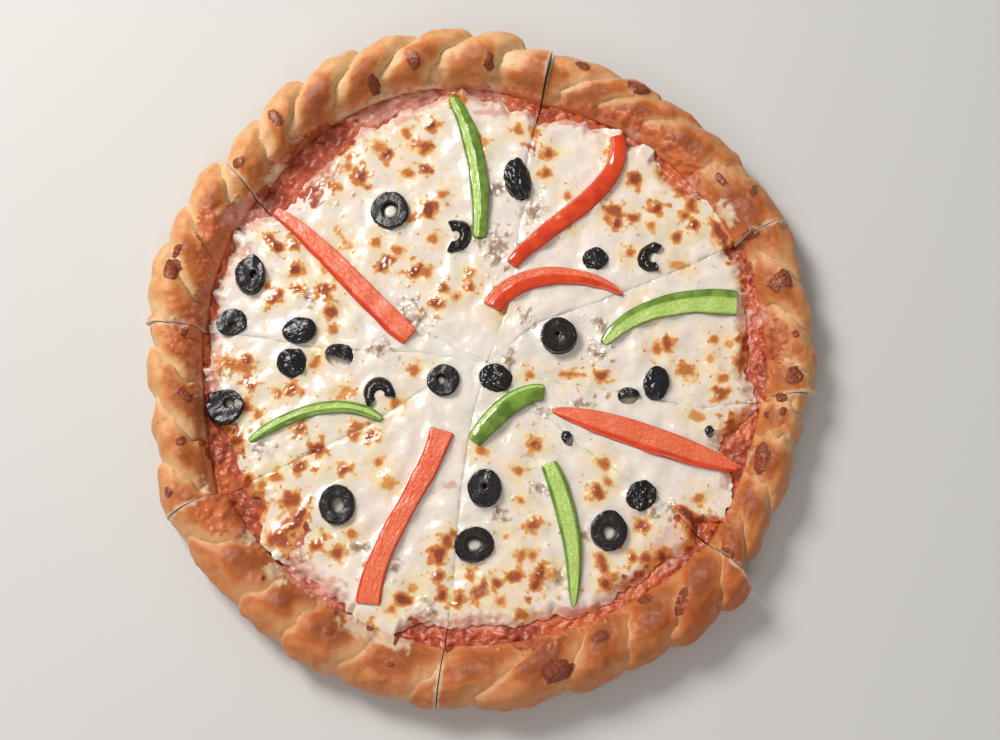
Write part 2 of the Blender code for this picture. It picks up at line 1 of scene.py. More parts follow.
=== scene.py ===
# %% [markdown]
# # Dressing a vegetarian pizza
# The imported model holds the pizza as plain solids: eight slices of dough, sauce and
# cheese, with olives and pepper strips bedded in them. This lesson gives each of
# them the look of baked food, and it starts by loading those solids, because every
# new piece takes its place and size from them.

# %% Load the solids
import math
import random

import bpy
import numpy as np
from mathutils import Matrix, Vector, noise


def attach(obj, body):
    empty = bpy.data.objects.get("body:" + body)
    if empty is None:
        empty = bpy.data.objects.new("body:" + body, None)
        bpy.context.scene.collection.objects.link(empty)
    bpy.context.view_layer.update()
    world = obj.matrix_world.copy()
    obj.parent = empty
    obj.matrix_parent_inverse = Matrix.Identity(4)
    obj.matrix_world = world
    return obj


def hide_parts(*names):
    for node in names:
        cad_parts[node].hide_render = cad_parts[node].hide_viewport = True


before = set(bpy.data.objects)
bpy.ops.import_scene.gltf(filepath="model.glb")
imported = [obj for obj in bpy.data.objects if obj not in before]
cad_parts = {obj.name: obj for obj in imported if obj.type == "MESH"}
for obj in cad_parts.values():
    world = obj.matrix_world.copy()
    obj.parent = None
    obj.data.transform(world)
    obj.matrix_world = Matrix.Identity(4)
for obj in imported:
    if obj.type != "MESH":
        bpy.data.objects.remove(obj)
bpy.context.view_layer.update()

# %% [markdown]
# Food is easiest to think of in millimetres, and Blender works in metres here, so
# one value turns the first into the second. A small seeded generator gives the
# same pizza each time the lesson is run.

# %% Units and a clean selection
MM = 0.001
chance = random.Random(7)


def object_mode():
    """Leave edit mode and deselect everything, so an operator meets one piece."""
    if bpy.context.object and bpy.context.object.mode != "OBJECT":
        bpy.ops.object.mode_set(mode="OBJECT")
    bpy.ops.object.select_all(action="DESELECT")


object_mode()
print("one millimetre is", MM, "m")

# %% [markdown]
# The picture looks down steeply on the pizza, from a little in front of it. A 50 mm
# lens held two thirds of a metre away gives that view with little distortion.
# The Standard view keeps the colours of the materials as they are mixed.

# %% Camera
bpy.ops.object.camera_add(location=(0.0087, -0.16086, 0.6213), rotation=(math.radians(14.0), 0, 0))
camera = bpy.context.object
camera.name = "camera"
camera.data.lens = 50.4
camera.data.sensor_width = 36.0
bpy.context.scene.camera = camera
bpy.context.scene.view_settings.view_transform = "Standard"
print("camera", [round(value, 3) for value in camera.location])

# %% [markdown]
# A plain pale floor and a soft studio light. The large lamp stands behind and to the
# left, so each lobe of the rim has a bright and a shaded side, and the front and the
# right lie in a mild shade. A weak second lamp and a pale room keep that shade open.

# %% Floor, lamps and surroundings
bpy.ops.mesh.primitive_plane_add(size=6.0, location=(0, 0, -0.0002))
floor = bpy.context.object
floor.name = "floor"

floor_paint = bpy.data.materials.new("floor_paint")
floor_paint.use_nodes = True
floor_paint.node_tree.nodes["Principled BSDF"].inputs["Base Color"].default_value = (0.66, 0.65, 0.63, 1)
floor_paint.node_tree.nodes["Principled BSDF"].inputs["Roughness"].default_value = 0.8
floor.data.materials.append(floor_paint)


def lamp(name, place, size, power, colour=(1, 1, 1)):
    """A square lamp that faces the pizza."""
    object_mode()
    bpy.ops.object.light_add(type="AREA", location=place)
    light = bpy.context.object
    light.name = name
    light.data.shape = "SQUARE"
    light.data.size = size
    light.data.energy = power
    light.data.color = colour
    light.rotation_euler = (-Vector(place)).to_track_quat("-Z", "Y").to_euler()


lamp("window_lamp", (-0.66, 0.62, 1.0), 0.45, 15.6, (1.0, 0.985, 0.955))
lamp("fill_lamp", (-0.2, -0.9, 1.0), 0.7, 3.2, (1.0, 0.98, 0.95))
world = bpy.data.worlds.new("pale_room")
bpy.context.scene.world = world
world.use_nodes = True
world.node_tree.nodes["Background"].inputs["Color"].default_value = (0.98, 0.97, 0.96, 1)
world.node_tree.nodes["Background"].inputs["Strength"].default_value = 0.30
print("two lamps and a pale room")

# %% [markdown]
# ## The plan of the slices
# Four strokes of a wheel cut the pizza. The strokes wander a little, so each cut is
# given by its bearing at five distances from the middle. Each slice has its two
# cuts, its outer radius at the start, middle and end, the width and height of its
# rim, and the depth of its creases. These are the values of the solids, but the gaps
# are drawn closer here, because soft cheese and dough sink back together behind the
# wheel. The cuts meet at the hub, and a shift centres the whole pizza. The fine
# grids start at the core's radius, and the last value is a degree's length at the rim.

# %% Cuts and slices
CUT_RADII = np.array((30.0, 60.0, 84.0, 100.0, 152.0))
CUTS = {
    "east": (-21.5, -15.2, -14.1, -13.7, -6.5),
    "northeast": (33.0, 26.2, 25.0, 24.7, 24.7),
    "north": (65.7, 74.5, 77.1, 78.0, 77.4),
    "northwest": (156.3, 151.3, 148.8, 147.3, 142.8),
    "west": (175.3, 177.0, 176.2, 174.8, 174.5),
    "southwest": (209.5, 211.6, 210.1, 209.7, 208.3),
    "south": (260.3, 261.0, 262.3, 262.9, 262.8),
    "southeast": (316.0, 316.7, 319.0, 320.5, 318.8),
}
RIM_GAPS = {"north": 1.3, "southeast": 1.1, "northwest": 0.8}
SLICES = (
    ("northeast", "north", (153.0, 153.0, 152.5), 26.0, 23.0, 2.6),
    ("north", "northwest", (154.0, 162.5, 154.5), 28.0, 27.0, 4.6),
    ("northwest", "west", (157.5, 156.5, 153.5), 28.0, 25.5, 3.6),
    ("west", "southwest", (151.5, 150.5, 156.5), 24.0, 25.0, 3.4),
    ("southwest", "south", (155.5, 155.0, 156.5), 27.0, 25.5, 2.2),
    ("south", "southeast", (155.5, 153.0, 156.0), 27.0, 26.0, 2.9),
    ("southeast", "east", (150.0, 146.5, 146.5), 20.5, 24.0, 3.0),
    ("east", "northeast", (150.5, 150.0, 153.0), 22.5, 23.5, 2.6),
)
HUB = np.array((1.8, -2.5))
SHIFT = np.array((1.10, -2.92))
CORE = 14.0
RIM_ARC = 2.6
BASE_TOP, SAUCE_BOTTOM, SAUCE_TOP, CHEESE_BOTTOM, CHEESE_TOP = 6.0, 6.3, 7.8, 8.1, 12.7
OLIVE_BED, PEPPER_BED = 10.1, 11.1
print(len(CUTS), "cut walls and", len(SLICES), "slices")

# %% How far out the cheese and the sauce reach, at bearings all round
RING = np.array((
    (0, 118, 136), (5, 119, 135), (8, 121, 134), (12, 121, 128), (15, 124, 129), (20, 125, 130),
    (24, 125, 126), (27, 130, 127), (37, 129, 127), (40, 125, 131), (42, 122, 136), (45, 122, 138),
    (49, 126, 137), (53, 126, 138), (57, 123, 137), (60, 126, 138), (63, 125, 135), (66, 123, 133),
    (70, 124, 132), (75, 120, 127), (77, 117, 127), (80, 123, 131), (83, 122, 131), (87, 126, 133),
    (90, 125, 134), (93, 131, 132), (97, 131, 132), (100, 127, 133), (104, 126, 133), (108, 126, 133),
    (112, 124, 132), (116, 124, 132), (120, 123, 131), (124, 121, 137), (128, 121, 137), (132, 118, 137),
    (136, 115, 136), (140, 117, 131), (144, 121, 134), (148, 126, 138), (151, 128, 149), (155, 127, 146),
    (160, 125, 138), (165, 126, 134), (170, 124, 133), (174, 124, 146), (178, 124, 141), (182, 124, 129),
    (186, 123, 130), (192, 121, 127), (197, 120, 128), (201, 118, 128), (205, 120, 133), (209, 121, 145),
    (213, 117, 145), (217, 122, 133), (220, 127, 131), (224, 128, 126), (228, 126, 130), (232, 124, 131),
    (236, 124, 129), (241, 126, 129), (244, 131, 128), (252, 131, 128), (255, 123, 124), (258, 122, 124),
    (262, 121, 131), (266, 119, 121), (270, 119, 122), (274, 119, 124), (278, 119, 132), (282, 118, 130),
    (286, 121, 127), (290, 123, 127), (296, 122, 127), (300, 122, 127), (304, 121, 126), (309, 121, 126),
    (313, 122, 126), (317, 126, 127), (321, 118, 128), (325, 129, 129), (330, 127, 127), (335, 123, 124),
    (338, 118, 127), (341, 112, 126), (345, 114, 124), (348, 118, 123), (352, 124, 125), (356, 124, 128),
), float)
print("cheese reaches out to", RING[:, 1].min(), "to", RING[:, 1].max(), "mm")


# %% The plan of one slice
def polar(radius, bearing):
    """Points of the plan from their distances and bearings in degrees."""
    angle = np.radians(bearing)
    return np.stack((radius * np.cos(angle), radius * np.sin(angle)), -1)


def smooth(value, low=0.0, high=1.0):
    """Ease from 0 to 1 as the value goes from low to high."""
    value = np.clip((value - low) / (high - low), 0.0, 1.0)
    return value * value * (3.0 - 2.0 * value)


class Plan:
    """The plan of one slice, before the shift that centres the whole pizza."""

    def __init__(self, number, spec):
        start, end, self.radii, self.rim_width, self.rim_height, self.crease = spec
        self.number = number
        self.start, self.end = CUTS[start][-1], CUTS[end][-1]
        turns = 360.0 if self.end < self.start else 0.0
        self.end += turns
        self.middle = (self.start + self.end) / 2.0
        self.tip = HUB + polar(0.2, self.middle)
        self.walls = (self.wall(start, 0.0, 1.0), self.wall(end, turns, -1.0))

    def wall(self, cut, turns, side):
        """The corners of a cut wall, a little to the slice's side of the cut."""
        gaps = np.array((0.3,) * 4 + (RIM_GAPS.get(cut, 0.6),))
        bearings = np.array(CUTS[cut]) + turns + np.degrees(side * gaps / 2.0 / CUT_RADII)
        return np.vstack((self.tip, polar(CUT_RADII, bearings)))

    def near(self, bearing):
        """The same bearing, counted so that it lies within half a turn of the middle."""
        return bearing + 360.0 * np.round((self.middle - bearing) / 360.0)

    def wall_bearing(self, side, radius):
        """The bearing of a cut wall at each distance from the middle."""
        corners = self.walls[side]
        leg = np.searchsorted(CUT_RADII[:-1], radius)
        first = corners[leg]
        way = corners[leg + 1] - first
        along = (first * way).sum(-1)
        square = (way * way).sum(-1)
        reach = along * along - square * ((first * first).sum(-1) - radius * radius)
        spot = first + way * ((np.sqrt(np.maximum(reach, 0.0)) - along) / square)[..., None]
        return self.near(np.degrees(np.arctan2(spot[..., 1], spot[..., 0])))

    def place(self, share, radius, lip=0.0):
        """Points this share of the way between the walls; lip reaches into the cut."""
        first = self.wall_bearing(0, radius) - np.degrees(lip / radius)
        last = self.wall_bearing(1, radius) + np.degrees(lip / radius)
        return polar(radius, first + share * (last - first))

    def bearing(self, share):
        """The bearing of each share at the rim."""
        return self.start + share * (self.end - self.start)

    def outer_radius(self, share):
        """The rim's mean outer radius."""
        first, middle, last = self.radii
        bulge = middle - (first + last) / 2.0
        return first + share * (last - first) + 4.0 * share * (1.0 - share) * bulge

    def foot_radius(self, share):
        """Where the rim's inner side meets the base."""
        return self.outer_radius(share) - self.rim_width

    def cheese_radius(self, share):
        """The outer edge of the cheese, which touches the rim in places."""
        edge = np.interp(self.bearing(share), RING[:, 0], RING[:, 1], period=360.0)
        return np.minimum(edge, self.foot_radius(share) + 0.4)


plans = [Plan(number, spec) for number, spec in enumerate(SLICES, start=1)]
print("slices span", [round(plan.end - plan.start) for plan in plans], "degrees")

# %% [markdown]
# ## Maps of what the oven did
# Heat, fat and sauce leave patterns that run over several slices, so they are drawn
# once on square maps of the whole pizza, as a baker would look down on it, and each
# piece then reads them at its own points. The maps are arrays of numbers in
# memory, drawn here from clouds of noise and from listed marks.

# %% Clouds of noise
SIDE, CELL = 340.0, 0.4
COUNT = round(SIDE / CELL)
ticks = (np.arange(COUNT) + 0.5) * CELL - SIDE / 2.0
EAST, NORTH = np.meshgrid(ticks, ticks)


def cloud(seed, size):
    """Seamless noise with lumps about this many millimetres across, from -3 to 3."""
    white = np.random.default_rng(seed).standard_normal((COUNT, COUNT))
    waves = np.fft.fftfreq(COUNT, CELL)
    pitch = np.hypot(*np.meshgrid(waves, waves)) * size * 2.0
    noise_map = np.fft.ifft2(np.fft.fft2(white) * np.exp(-((pitch - 1.0) / 0.45) ** 2)).real
    return (noise_map / noise_map.std()).astype(np.float32)


def read(field, x, y):
    """A map's values at points in millimetres, blended between its cells."""
    u = (np.asarray(x) + SIDE / 2.0) / CELL - 0.5
    v = (np.asarray(y) + SIDE / 2.0) / CELL - 0.5
    column, row = np.floor(u).astype(int), np.floor(v).astype(int)
    fu, fv = u - column, v - row
    near = field[row % COUNT, column % COUNT] * (1 - fu) + field[row % COUNT, (column + 1) % COUNT] * fu
    far = (field[(row + 1) % COUNT, column % COUNT] * (1 - fu)
           + field[(row + 1) % COUNT, (column + 1) % COUNT] * fu)
    return near * (1 - fv) + far * fv


print("maps of", COUNT, "by", COUNT, "cells")


# %% Marks on a map
def turned(east, north, turn):
    """How far points lie along and across a line that is turned by this many degrees."""
    c, s = math.cos(math.radians(turn)), math.sin(math.radians(turn))
    return east * c + north * s, north * c - east * s


def around(x, y):
    """The bearings of points in degrees, and their distances from the plan's middle."""
    x, y = x - SHIFT[0], y - SHIFT[1]
    return np.degrees(np.arctan2(y, x)), np.hypot(x, y)


ragged_edge = 0.65 * cloud(1, 3.0) + 0.3 * cloud(2, 1.3)


def window(x, y, reach):
    """The cells of a map within this reach of a point."""
    low = [max(int((value - reach + SIDE / 2.0) / CELL), 0) for value in (y, x)]
    high = [min(int((value + reach + SIDE / 2.0) / CELL) + 2, COUNT) for value in (y, x)]
    return slice(low[0], high[0]), slice(low[1], high[1])


def mark(field, x, y, wide, deep, turn, level, soft, ragged):
    """Raise a map to a level in a ragged oval."""
    cells = window(x, y, max(wide, deep) * 1.3)
    along, across = turned(EAST[cells] - x, NORTH[cells] - y, turn)
    distance = np.hypot(along * 2.0 / wide, across * 2.0 / deep)
    distance *= 1.0 + ragged * ragged_edge[cells]
    field[cells] = np.maximum(field[cells], level * (1.0 - smooth(distance, 1.0 - soft, 1.0 + soft)))


def blank():
    """An empty map."""
    return np.zeros((COUNT, COUNT), np.float32)


map_bearing, map_radius = around(EAST, NORTH)
map_bearing, map_radius = map_bearing + 1.1 * ragged_edge, map_radius + 0.9 * ragged_edge


def band(field, start, end, inner, outer, soft):
    """Raise a map in a ragged piece of ring, between two bearings and two radii."""
    along = np.abs((map_bearing - (start + end) / 2.0 + 180.0) % 360.0 - 180.0) - (end - start) / 2.0
    across = np.abs(map_radius - (inner + outer) / 2.0) - (outer - inner) / 2.0
    depth = np.maximum(along * 2.2, across)
    np.maximum(field, 1.0 - smooth(depth, -soft, soft), out=field)


def as_seen(x, y, z, level):
    """Where the line of sight from the camera through a point meets a level."""
    eye = np.array(camera.location) / MM
    reach = (eye[2] - level) / (eye[2] - z)
    return eye[0] + (x - eye[0]) * reach, eye[1] + (y - eye[1]) * reach


print("the corner of a map lies", round(float(map_radius.max())), "mm from the middle")

# %% [markdown]
# The toppings come before the cheese, because the cheese lies around them. Each
# olive is given by its form, place, width and depth, height and turn, by its hole's
# size and place, by how far cheese wells up through the hole, and by how torn it is.
# Each strip lies along a cubic curve, with its width at the start, middle and end,
# its height, the part of its width in the flesh tone, and how blunt its ends are.
# That band is bare flesh, but on green_pepper_1 and green_pepper_3 it is a painted highlight on the skin.

# %% Where the toppings lie
OLIVES = (
    ("ring", (-43.0, 69.3), (17.5, 18.4), 5.4, 0.0, 0.43, (0.0, 0.0), 1.0, 0.1),
    ("ring", (-105.9, 38.0), (13.6, 18.4), 6.5, 0.0, 0.2, (0.24, 0.0), 0.9, 0.25),
    ("ring", (-113.5, 15.9), (13.8, 12.6), 4.6, 10.0, 0.26, (0.05, -0.3), 0.35, 0.2),
    ("cap", (-82.8, 11.9), (15.4, 12.4), 6.0, 8.0, 0.0, (0.0, 0.0), 0.0, 0.2),
    ("cap", (-85.8, -3.0), (13.2, 13.4), 6.0, 0.0, 0.0, (0.0, 0.0), 0.0, 0.6),
    ("half", (-64.5, 0.4), (13.4, 11.0), 4.6, -20.0, 0.0, (0.0, 0.0), 0.0, 0.8),
    ("ring", (-114.7, -23.2), (16.8, 15.8), 5.6, 20.0, 0.3, (0.26, 0.12), 0.6, 0.3),
    ("crescent", (-46.5, -16.6), (13.4, 14.4), 5.2, -10.0, 235.0, (0.0, 0.0), 0.0, 0.15),
    ("cap", (15.9, 84.2), (12.4, 20.0), 8.4, 12.0, 0.0, (0.0, 0.0), 0.0, 0.45),
    ("crescent", (-11.8, 57.2), (15.4, 13.4), 5.6, -115.0, 235.0, (0.0, 0.0), 0.0, 0.35),
    ("cap", (51.2, 46.0), (12.0, 10.2), 5.6, 5.0, 0.0, (0.0, 0.0), 0.0, 0.9),
    ("crescent", (76.7, 46.6), (14.0, 12.0), 5.8, 55.0, 235.0, (0.0, 0.0), 0.0, 0.45),
    ("ring", (34.1, 9.1), (16.4, 16.6), 8.2, 0.0, 0.1, (-0.08, 0.06), 0.0, 0.12),
    ("ring", (-17.8, -11.0), (14.5, 14.8), 5.0, 0.0, 0.3, (-0.12, 0.05), 0.8, 0.15),
    ("cap", (5.6, -9.8), (15.0, 12.6), 5.6, -15.0, 0.0, (0.0, 0.0), 0.0, 0.9),
    ("cap", (77.4, -12.6), (11.4, 15.4), 5.8, -12.0, 0.0, (0.0, 0.0), 0.0, 0.35),
    ("half", (64.8, -18.2), (9.6, 8.0), 4.4, 0.0, 0.0, (0.0, 0.0), 0.0, 0.5),
    ("half", (37.6, -37.6), (5.0, 7.6), 4.4, 30.0, 0.0, (0.0, 0.0), 0.0, 0.3),
    ("half", (100.6, -34.6), (4.2, 5.6), 4.2, 15.0, 0.0, (0.0, 0.0), 0.0, 0.3),
    ("ring", (-63.6, -67.1), (15.8, 17.8), 5.6, 0.0, 0.4, (0.0, 0.0), 0.3, 0.1),
    ("ring", (1.0, -59.8), (15.0, 17.0), 6.4, 0.0, 0.12, (0.0, 0.06), 0.0, 0.12),
    ("ring", (-3.6, -84.5), (17.6, 15.4), 5.6, 15.0, 0.44, (0.0, 0.0), 0.9, 0.15),
    ("ring", (55.2, -78.5), (16.0, 17.6), 5.8, 0.0, 0.42, (0.0, -0.08), 1.0, 0.2),
    ("cap", (69.6, -63.0), (14.0, 12.4), 5.4, 45.0, 0.0, (0.0, 0.0), 0.0, 1.0),
)
STRIPS = {
    "red_pepper_1": (
        ((-96, 69), (-72, 52), (-55, 28), (-33, 9)), (5.0, 10.0, 9.5), 4.2, (-0.62, 1.0), (0.7, 0.9)),
    "red_pepper_2": (
        ((62, 106), (68, 78), (28, 64), (13, 43)), (7.0, 8.8, 6.0), 4.6, (-1.0, -0.72), (0.9, 0.85)),
    "red_pepper_3": (
        ((4, 23), (14, 42), (47, 41), (63, 29)), (9.4, 8.6, 3.0), 4.2, (0.1, 0.95), (0.9, 0.5)),
    "red_pepper_4": (
        ((31, -25), (58, -31), (84, -42), (112, -51)), (4.0, 12.5, 5.0), 4.4, (-0.55, 0.98), (0.5, 0.5)),
    "red_pepper_5": (
        ((-18, -34), (-25, -60), (-47, -83), (-49, -110)), (11.0, 8.8, 11.5), 4.8, (-0.8, 0.9), (0.9, 0.85)),
    # Its flesh-tone band is a painted highlight on the skin.
    "green_pepper_1": (
        ((-15, 126), (-3, 105), (0, 81), (-2, 56)), (5.5, 8.8, 6.0), 5.0, (-0.72, -0.1), (0.5, 0.8)),
    "green_pepper_2": (
        ((54, 6), (68, 24), (94, 27), (115, 25)), (5.5, 10.0, 12.5), 4.6, (-1.0, 0.3), (0.5, 0.92)),
    # Its flesh-tone band is a painted highlight on the skin.
    "green_pepper_3": (
        ((-103, -39), (-87, -26), (-63, -17), (-45, -29)), (4.0, 6.0, 4.5), 4.2, (-0.2, 0.5), (0.5, 0.5)),
    "green_pepper_4": (
        ((-4, -39), (2, -31), (15, -16), (27, -17)), (7.0, 9.6, 7.5), 5.2, (0.55, 0.8), (0.8, 0.9)),
    "green_pepper_5": (
        ((29, -49), (38, -69), (41, -89), (39, -111)), (7.5, 8.6, 3.0), 4.8, (-0.66, 0.62), (0.92, 0.45)),
}
print(len(OLIVES), "olives and", len(STRIPS), "strips")


# %% Beds for the toppings
STRIP_STEPS = 240


def strip_line(spec):
    """Centres, directions ahead, half widths and distances from the start of a strip."""
    a, b, c, d = (np.array(control, float) for control in spec[0])
    share = np.linspace(0.0, 1.0, STRIP_STEPS)[:, None]
    rest = 1.0 - share
    centre = a * rest ** 3 + 3 * b * rest ** 2 * share + 3 * c * rest * share ** 2 + d * share ** 3
    ahead = (b - a) * rest ** 2 + 2 * (c - b) * rest * share + (d - c) * share ** 2
    ahead /= np.linalg.norm(ahead, axis=1)[:, None]
    gone = np.concatenate(((0.0,), np.cumsum(np.linalg.norm(np.diff(centre, axis=0), axis=1))))
    first, middle, last = spec[1]
    width = first + share[:, 0] * (last - first)
    width += 4 * share[:, 0] * (1 - share[:, 0]) * (middle - (first + last) / 2.0)
    for blunt, left in zip(spec[4], (gone, gone[-1] - gone)):
        reach = 1.3 if blunt > 0.6 else 6.0
        width *= blunt + (1.0 - blunt) * np.sqrt(np.clip(left / reach, 0.0, 1.0))
    return centre + SHIFT, ahead, width / 2.0, gone


FAR, BED_SKIN = 40.0, 0.3
apart = np.full((COUNT, COUNT), FAR, np.float32)
bed_floor = np.full((COUNT, COUNT), PEPPER_BED - BED_SKIN, np.float32)
well = blank()


def claim(cells, distance, level):
    """Keep, for each cell, how far the nearest bed's edge is and how deep that bed lies."""
    closer = distance < apart[cells]
    apart[cells] = np.where(closer, distance, apart[cells])
    bed_floor[cells] = np.where(closer, level - BED_SKIN, bed_floor[cells])


for form, place, size, height, turn, hole, aside, filled, torn in OLIVES:
    x, y = np.array(place) + SHIFT
    cells = window(x, y, max(size) / 2.0 + 6.0)
    east, north = EAST[cells] - x, NORTH[cells] - y
    u, v = turned(east, north, turn)
    u, v = u * 2.0 / size[0], v * 2.0 / size[1]
    k = np.hypot(u, v) + 1e-6
    distance = (k - 1.0) * np.hypot(east, north) / k
    if form == "crescent":
        off = np.abs((np.degrees(np.arctan2(v, u)) - hole / 2.0 + 180.0) % 360.0 - 180.0) - hole / 2.0
        inside = np.maximum(0.42 - k, np.radians(off) * k) * min(size) / 2.0
        distance = np.maximum(distance, inside)
    claim(cells, distance, OLIVE_BED)
    if filled:
        middle = np.hypot(u - aside[0], v - aside[1])
        well[cells] = np.maximum(well[cells], filled * (1.0 - smooth(middle, hole * 0.55, hole * 1.25)))
for spec in STRIPS.values():
    for centre, ahead, half, gone in zip(*strip_line(spec)):
        cells = window(centre[0], centre[1], half + 6.0)
        east, north = EAST[cells] - centre[0], NORTH[cells] - centre[1]
        lengthwise = np.abs(east * ahead[0] + north * ahead[1]) - 0.4
        across = np.abs(north * ahead[0] - east * ahead[1]) - half
        claim(cells, np.maximum(lengthwise, across), PEPPER_BED)
covered = round(float((apart < 0).mean()) * 100, 1)
print("the toppings cover", covered, "% of the map")

# %% [markdown]
# The cheese browns where its fat boils, in blisters of a few millimetres with a
# golden halo. They are listed in four degrees of browning: each mark is its
# place, width and depth, and a turn where it is a streak.

# %% Toasted blisters
TOASTS = {
    1.0: (
        (-44, 94, 5, 5), (-56, 84, 5, 8), (-23, 109, 4, 4), (-12, 123, 4, 7), (-24, 67, 7, 5),
        (-44, 41, 8, 4, 50), (-30, 37, 6, 4), (-26, 87, 4, 4), (-42, 42, 4, 3), (81, 68, 5, 4),
        (62, 60, 4, 4), (71, 82, 4, 6), (98, 60, 4, 4), (-84, 38, 5, 4), (-93, 49, 5, 4),
        (-72, -45, 6, 5), (-103, -60, 6, 5), (-98, -70, 9, 6), (-105, -71, 5, 4), (-79, -76, 13, 4, 65),
        (-18, -92, 6, 5), (-33, -111, 4, 7), (-16, -109, 3, 5), (25, -102, 14, 3, 70), (54, -104, 4, 4),
        (80, -93, 8, 4), (95, -79, 10, 7), (90, -74, 9, 4, -45), (102, -87, 9, 3, -45), (110, 55, 4, 14),
        (121, 4, 7, 9), (126, -4, 4, 20, 4), (-84, 38, 4, 3), (-105, -5, 5, 3), (-103, -15, 4, 5),
    ),
    0.8: (
        (-26, 98, 5, 5), (31, 95, 5, 4), (30, 85, 5, 3), (61, 66, 6, 8), (97, 69, 4, 5), (93, 77, 5, 4),
        (93, 88, 9, 11), (90, 54, 3, 5), (94, 64, 3, 3), (70, 63, 4, 4), (-97, 53, 4, 4), (-86, 51, 5, 4),
        (-93, 25, 8, 3), (-71, 28, 6, 7), (-68, 18, 5, 6), (-83, 29, 4, 4), (-84, -18, 6, 5),
        (-48, -39, 5, 6), (-105, -25, 4, 4), (-80, -36, 4, 4), (-80, -53, 6, 5), (-60, -54, 6, 3),
        (-83, -68, 8, 7), (-87, -85, 8, 10), (-71, -88, 4, 5), (-62, -91, 6, 4), (-14, -86, 6, 5),
        (-18, -101, 5, 4), (51, -64, 6, 5), (24, -43, 5, 4), (71, -79, 6, 5), (-9, -111, 3, 7),
        (0, -108, 9, 4), (7, -104, 5, 3), (15, -101, 4, 7), (53, -95, 8, 3), (66, -93, 3, 3),
        (72, -93, 4, 4), (92, -89, 5, 3), (84, 3, 5, 4), (-5, 30, 4, 3), (-20, 22, 6, 4), (-17, 29, 4, 4),
        (23, -79, 4, 6), (54, -12, 5, 4), (-47, -123, 4, 3), (107, -20, 6, 5), (117, -5, 6, 4),
        (121, 34, 3, 6), (114, -38, 8, 16, 20), (-108, -41, 6, 5),
    ),
    0.55: (
        (-48, 98, 5, 5), (-69, 78, 5, 6), (-59, 94, 4, 5), (-62, 88, 3, 4), (-35, 105, 5, 4),
        (-34, 85, 4, 4), (-30, 64, 5, 4), (-18, 74, 4, 4), (-22, 53, 4, 4), (-31, 100, 5, 4),
        (-48, 51, 4, 4), (-38, 47, 5, 4), (17, 107, 4, 4), (25, 105, 3, 6), (-25, 37, 5, 5),
        (-5, 36, 5, 3), (-11, 25, 3, 3), (84, 86, 3, 3), (78, 59, 3, 3), (68, 46, 4, 4), (-97, 30, 3, 3),
        (-67, 10, 4, 4), (-109, -7, 18, 5, -10), (-90, -20, 4, 4), (-99, -29, 4, 4), (-74, -5, 3, 8, -25),
        (-56, -38, 5, 6), (-30, -9, 5, 5), (-38, -24, 4, 3), (-113, -36, 4, 4), (-73, -54, 3, 3),
        (-45, -51, 3, 3), (-96, -61, 4, 4), (-90, -57, 5, 4), (-68, -84, 3, 3), (-56, -83, 4, 3),
        (-38, -115, 3, 3), (0, -46, 4, 4), (17, -55, 3, 3), (56, -60, 3, 3), (54, -52, 6, 4),
        (18, -68, 2, 2), (-4, -100, 5, 4), (18, -92, 6, 3), (23, -92, 3, 3), (9, -112, 4, 3),
        (58, -101, 4, 3), (77, -99, 5, 3), (18, -117, 5, 4), (79, 1, 4, 4), (105, 5, 4, 3),
        (92, -9, 6, 8), (108, -13, 4, 4), (40, -11, 10, 2), (22, -11, 3, 3), (55, -51, 4, 3),
        (96, -67, 4, 4), (40, 73, 3, 3), (-55, -35, 5, 4),
    ),
    0.33: (
        (-66, 57, 5, 4), (-62, 50, 5, 5), (-29, -106, 5, 4), (11, -84, 3, 3), (16, -54, 4, 3),
        (103, -4, 4, 4), (112, 3, 5, 3), (96, -30, 8, 5), (60, 95, 8, 6), (40, 60, 6, 5), (-70, 40, 8, 6),
        (-60, -20, 10, 6), (10, 20, 8, 6), (75, 20, 8, 6), (-40, -60, 8, 6), (30, -100, 8, 6),
        (0, 100, 8, 6), (90, 40, 8, 5),
    ),
}
toast, halo, freckled = blank(), blank(), blank()
for level, marks in TOASTS.items():
    for x, y, wide, deep, *turn in marks:
        turn = turn[0] if turn else chance.uniform(0.0, 180.0)
        for field, spare, strength, soft, ragged in (
                (toast, 0.0, level, 0.4, 0.25), (toast, 3.0, level * 0.5, 0.5, 0.3),
                (halo, 9.0, 1.0, 0.8, 0.3), (freckled, 16.0, 1.0, 0.8, 0.3)):
            mark(field, x, y, wide + spare, deep + spare, turn, strength, soft, ragged)
blisters = smooth(0.9 * cloud(11, 1.5) + 0.4 * cloud(12, 3.0), 1.55, 2.4)
toast = np.maximum(toast, blisters * (0.04 + 0.4 * freckled))
print("browned share", round(float((toast > 0.3).mean()), 3))

# %% [markdown]
# Sauce reddens the thin edge of the cheese and bleeds through it in a few places,
# and fried mushroom crumbs show through it as grey-brown lumps. In the ring at the
# rim the sauce is dark where it caught, orange where it is oily and pink where a
# film of cheese covers it; there each mark is a piece of ring, from one bearing to
# another and from one radius to another. Cream ran over the rim in a few places, and
# drops of cheese and sauce burnt on it, each at a bearing and a radius.

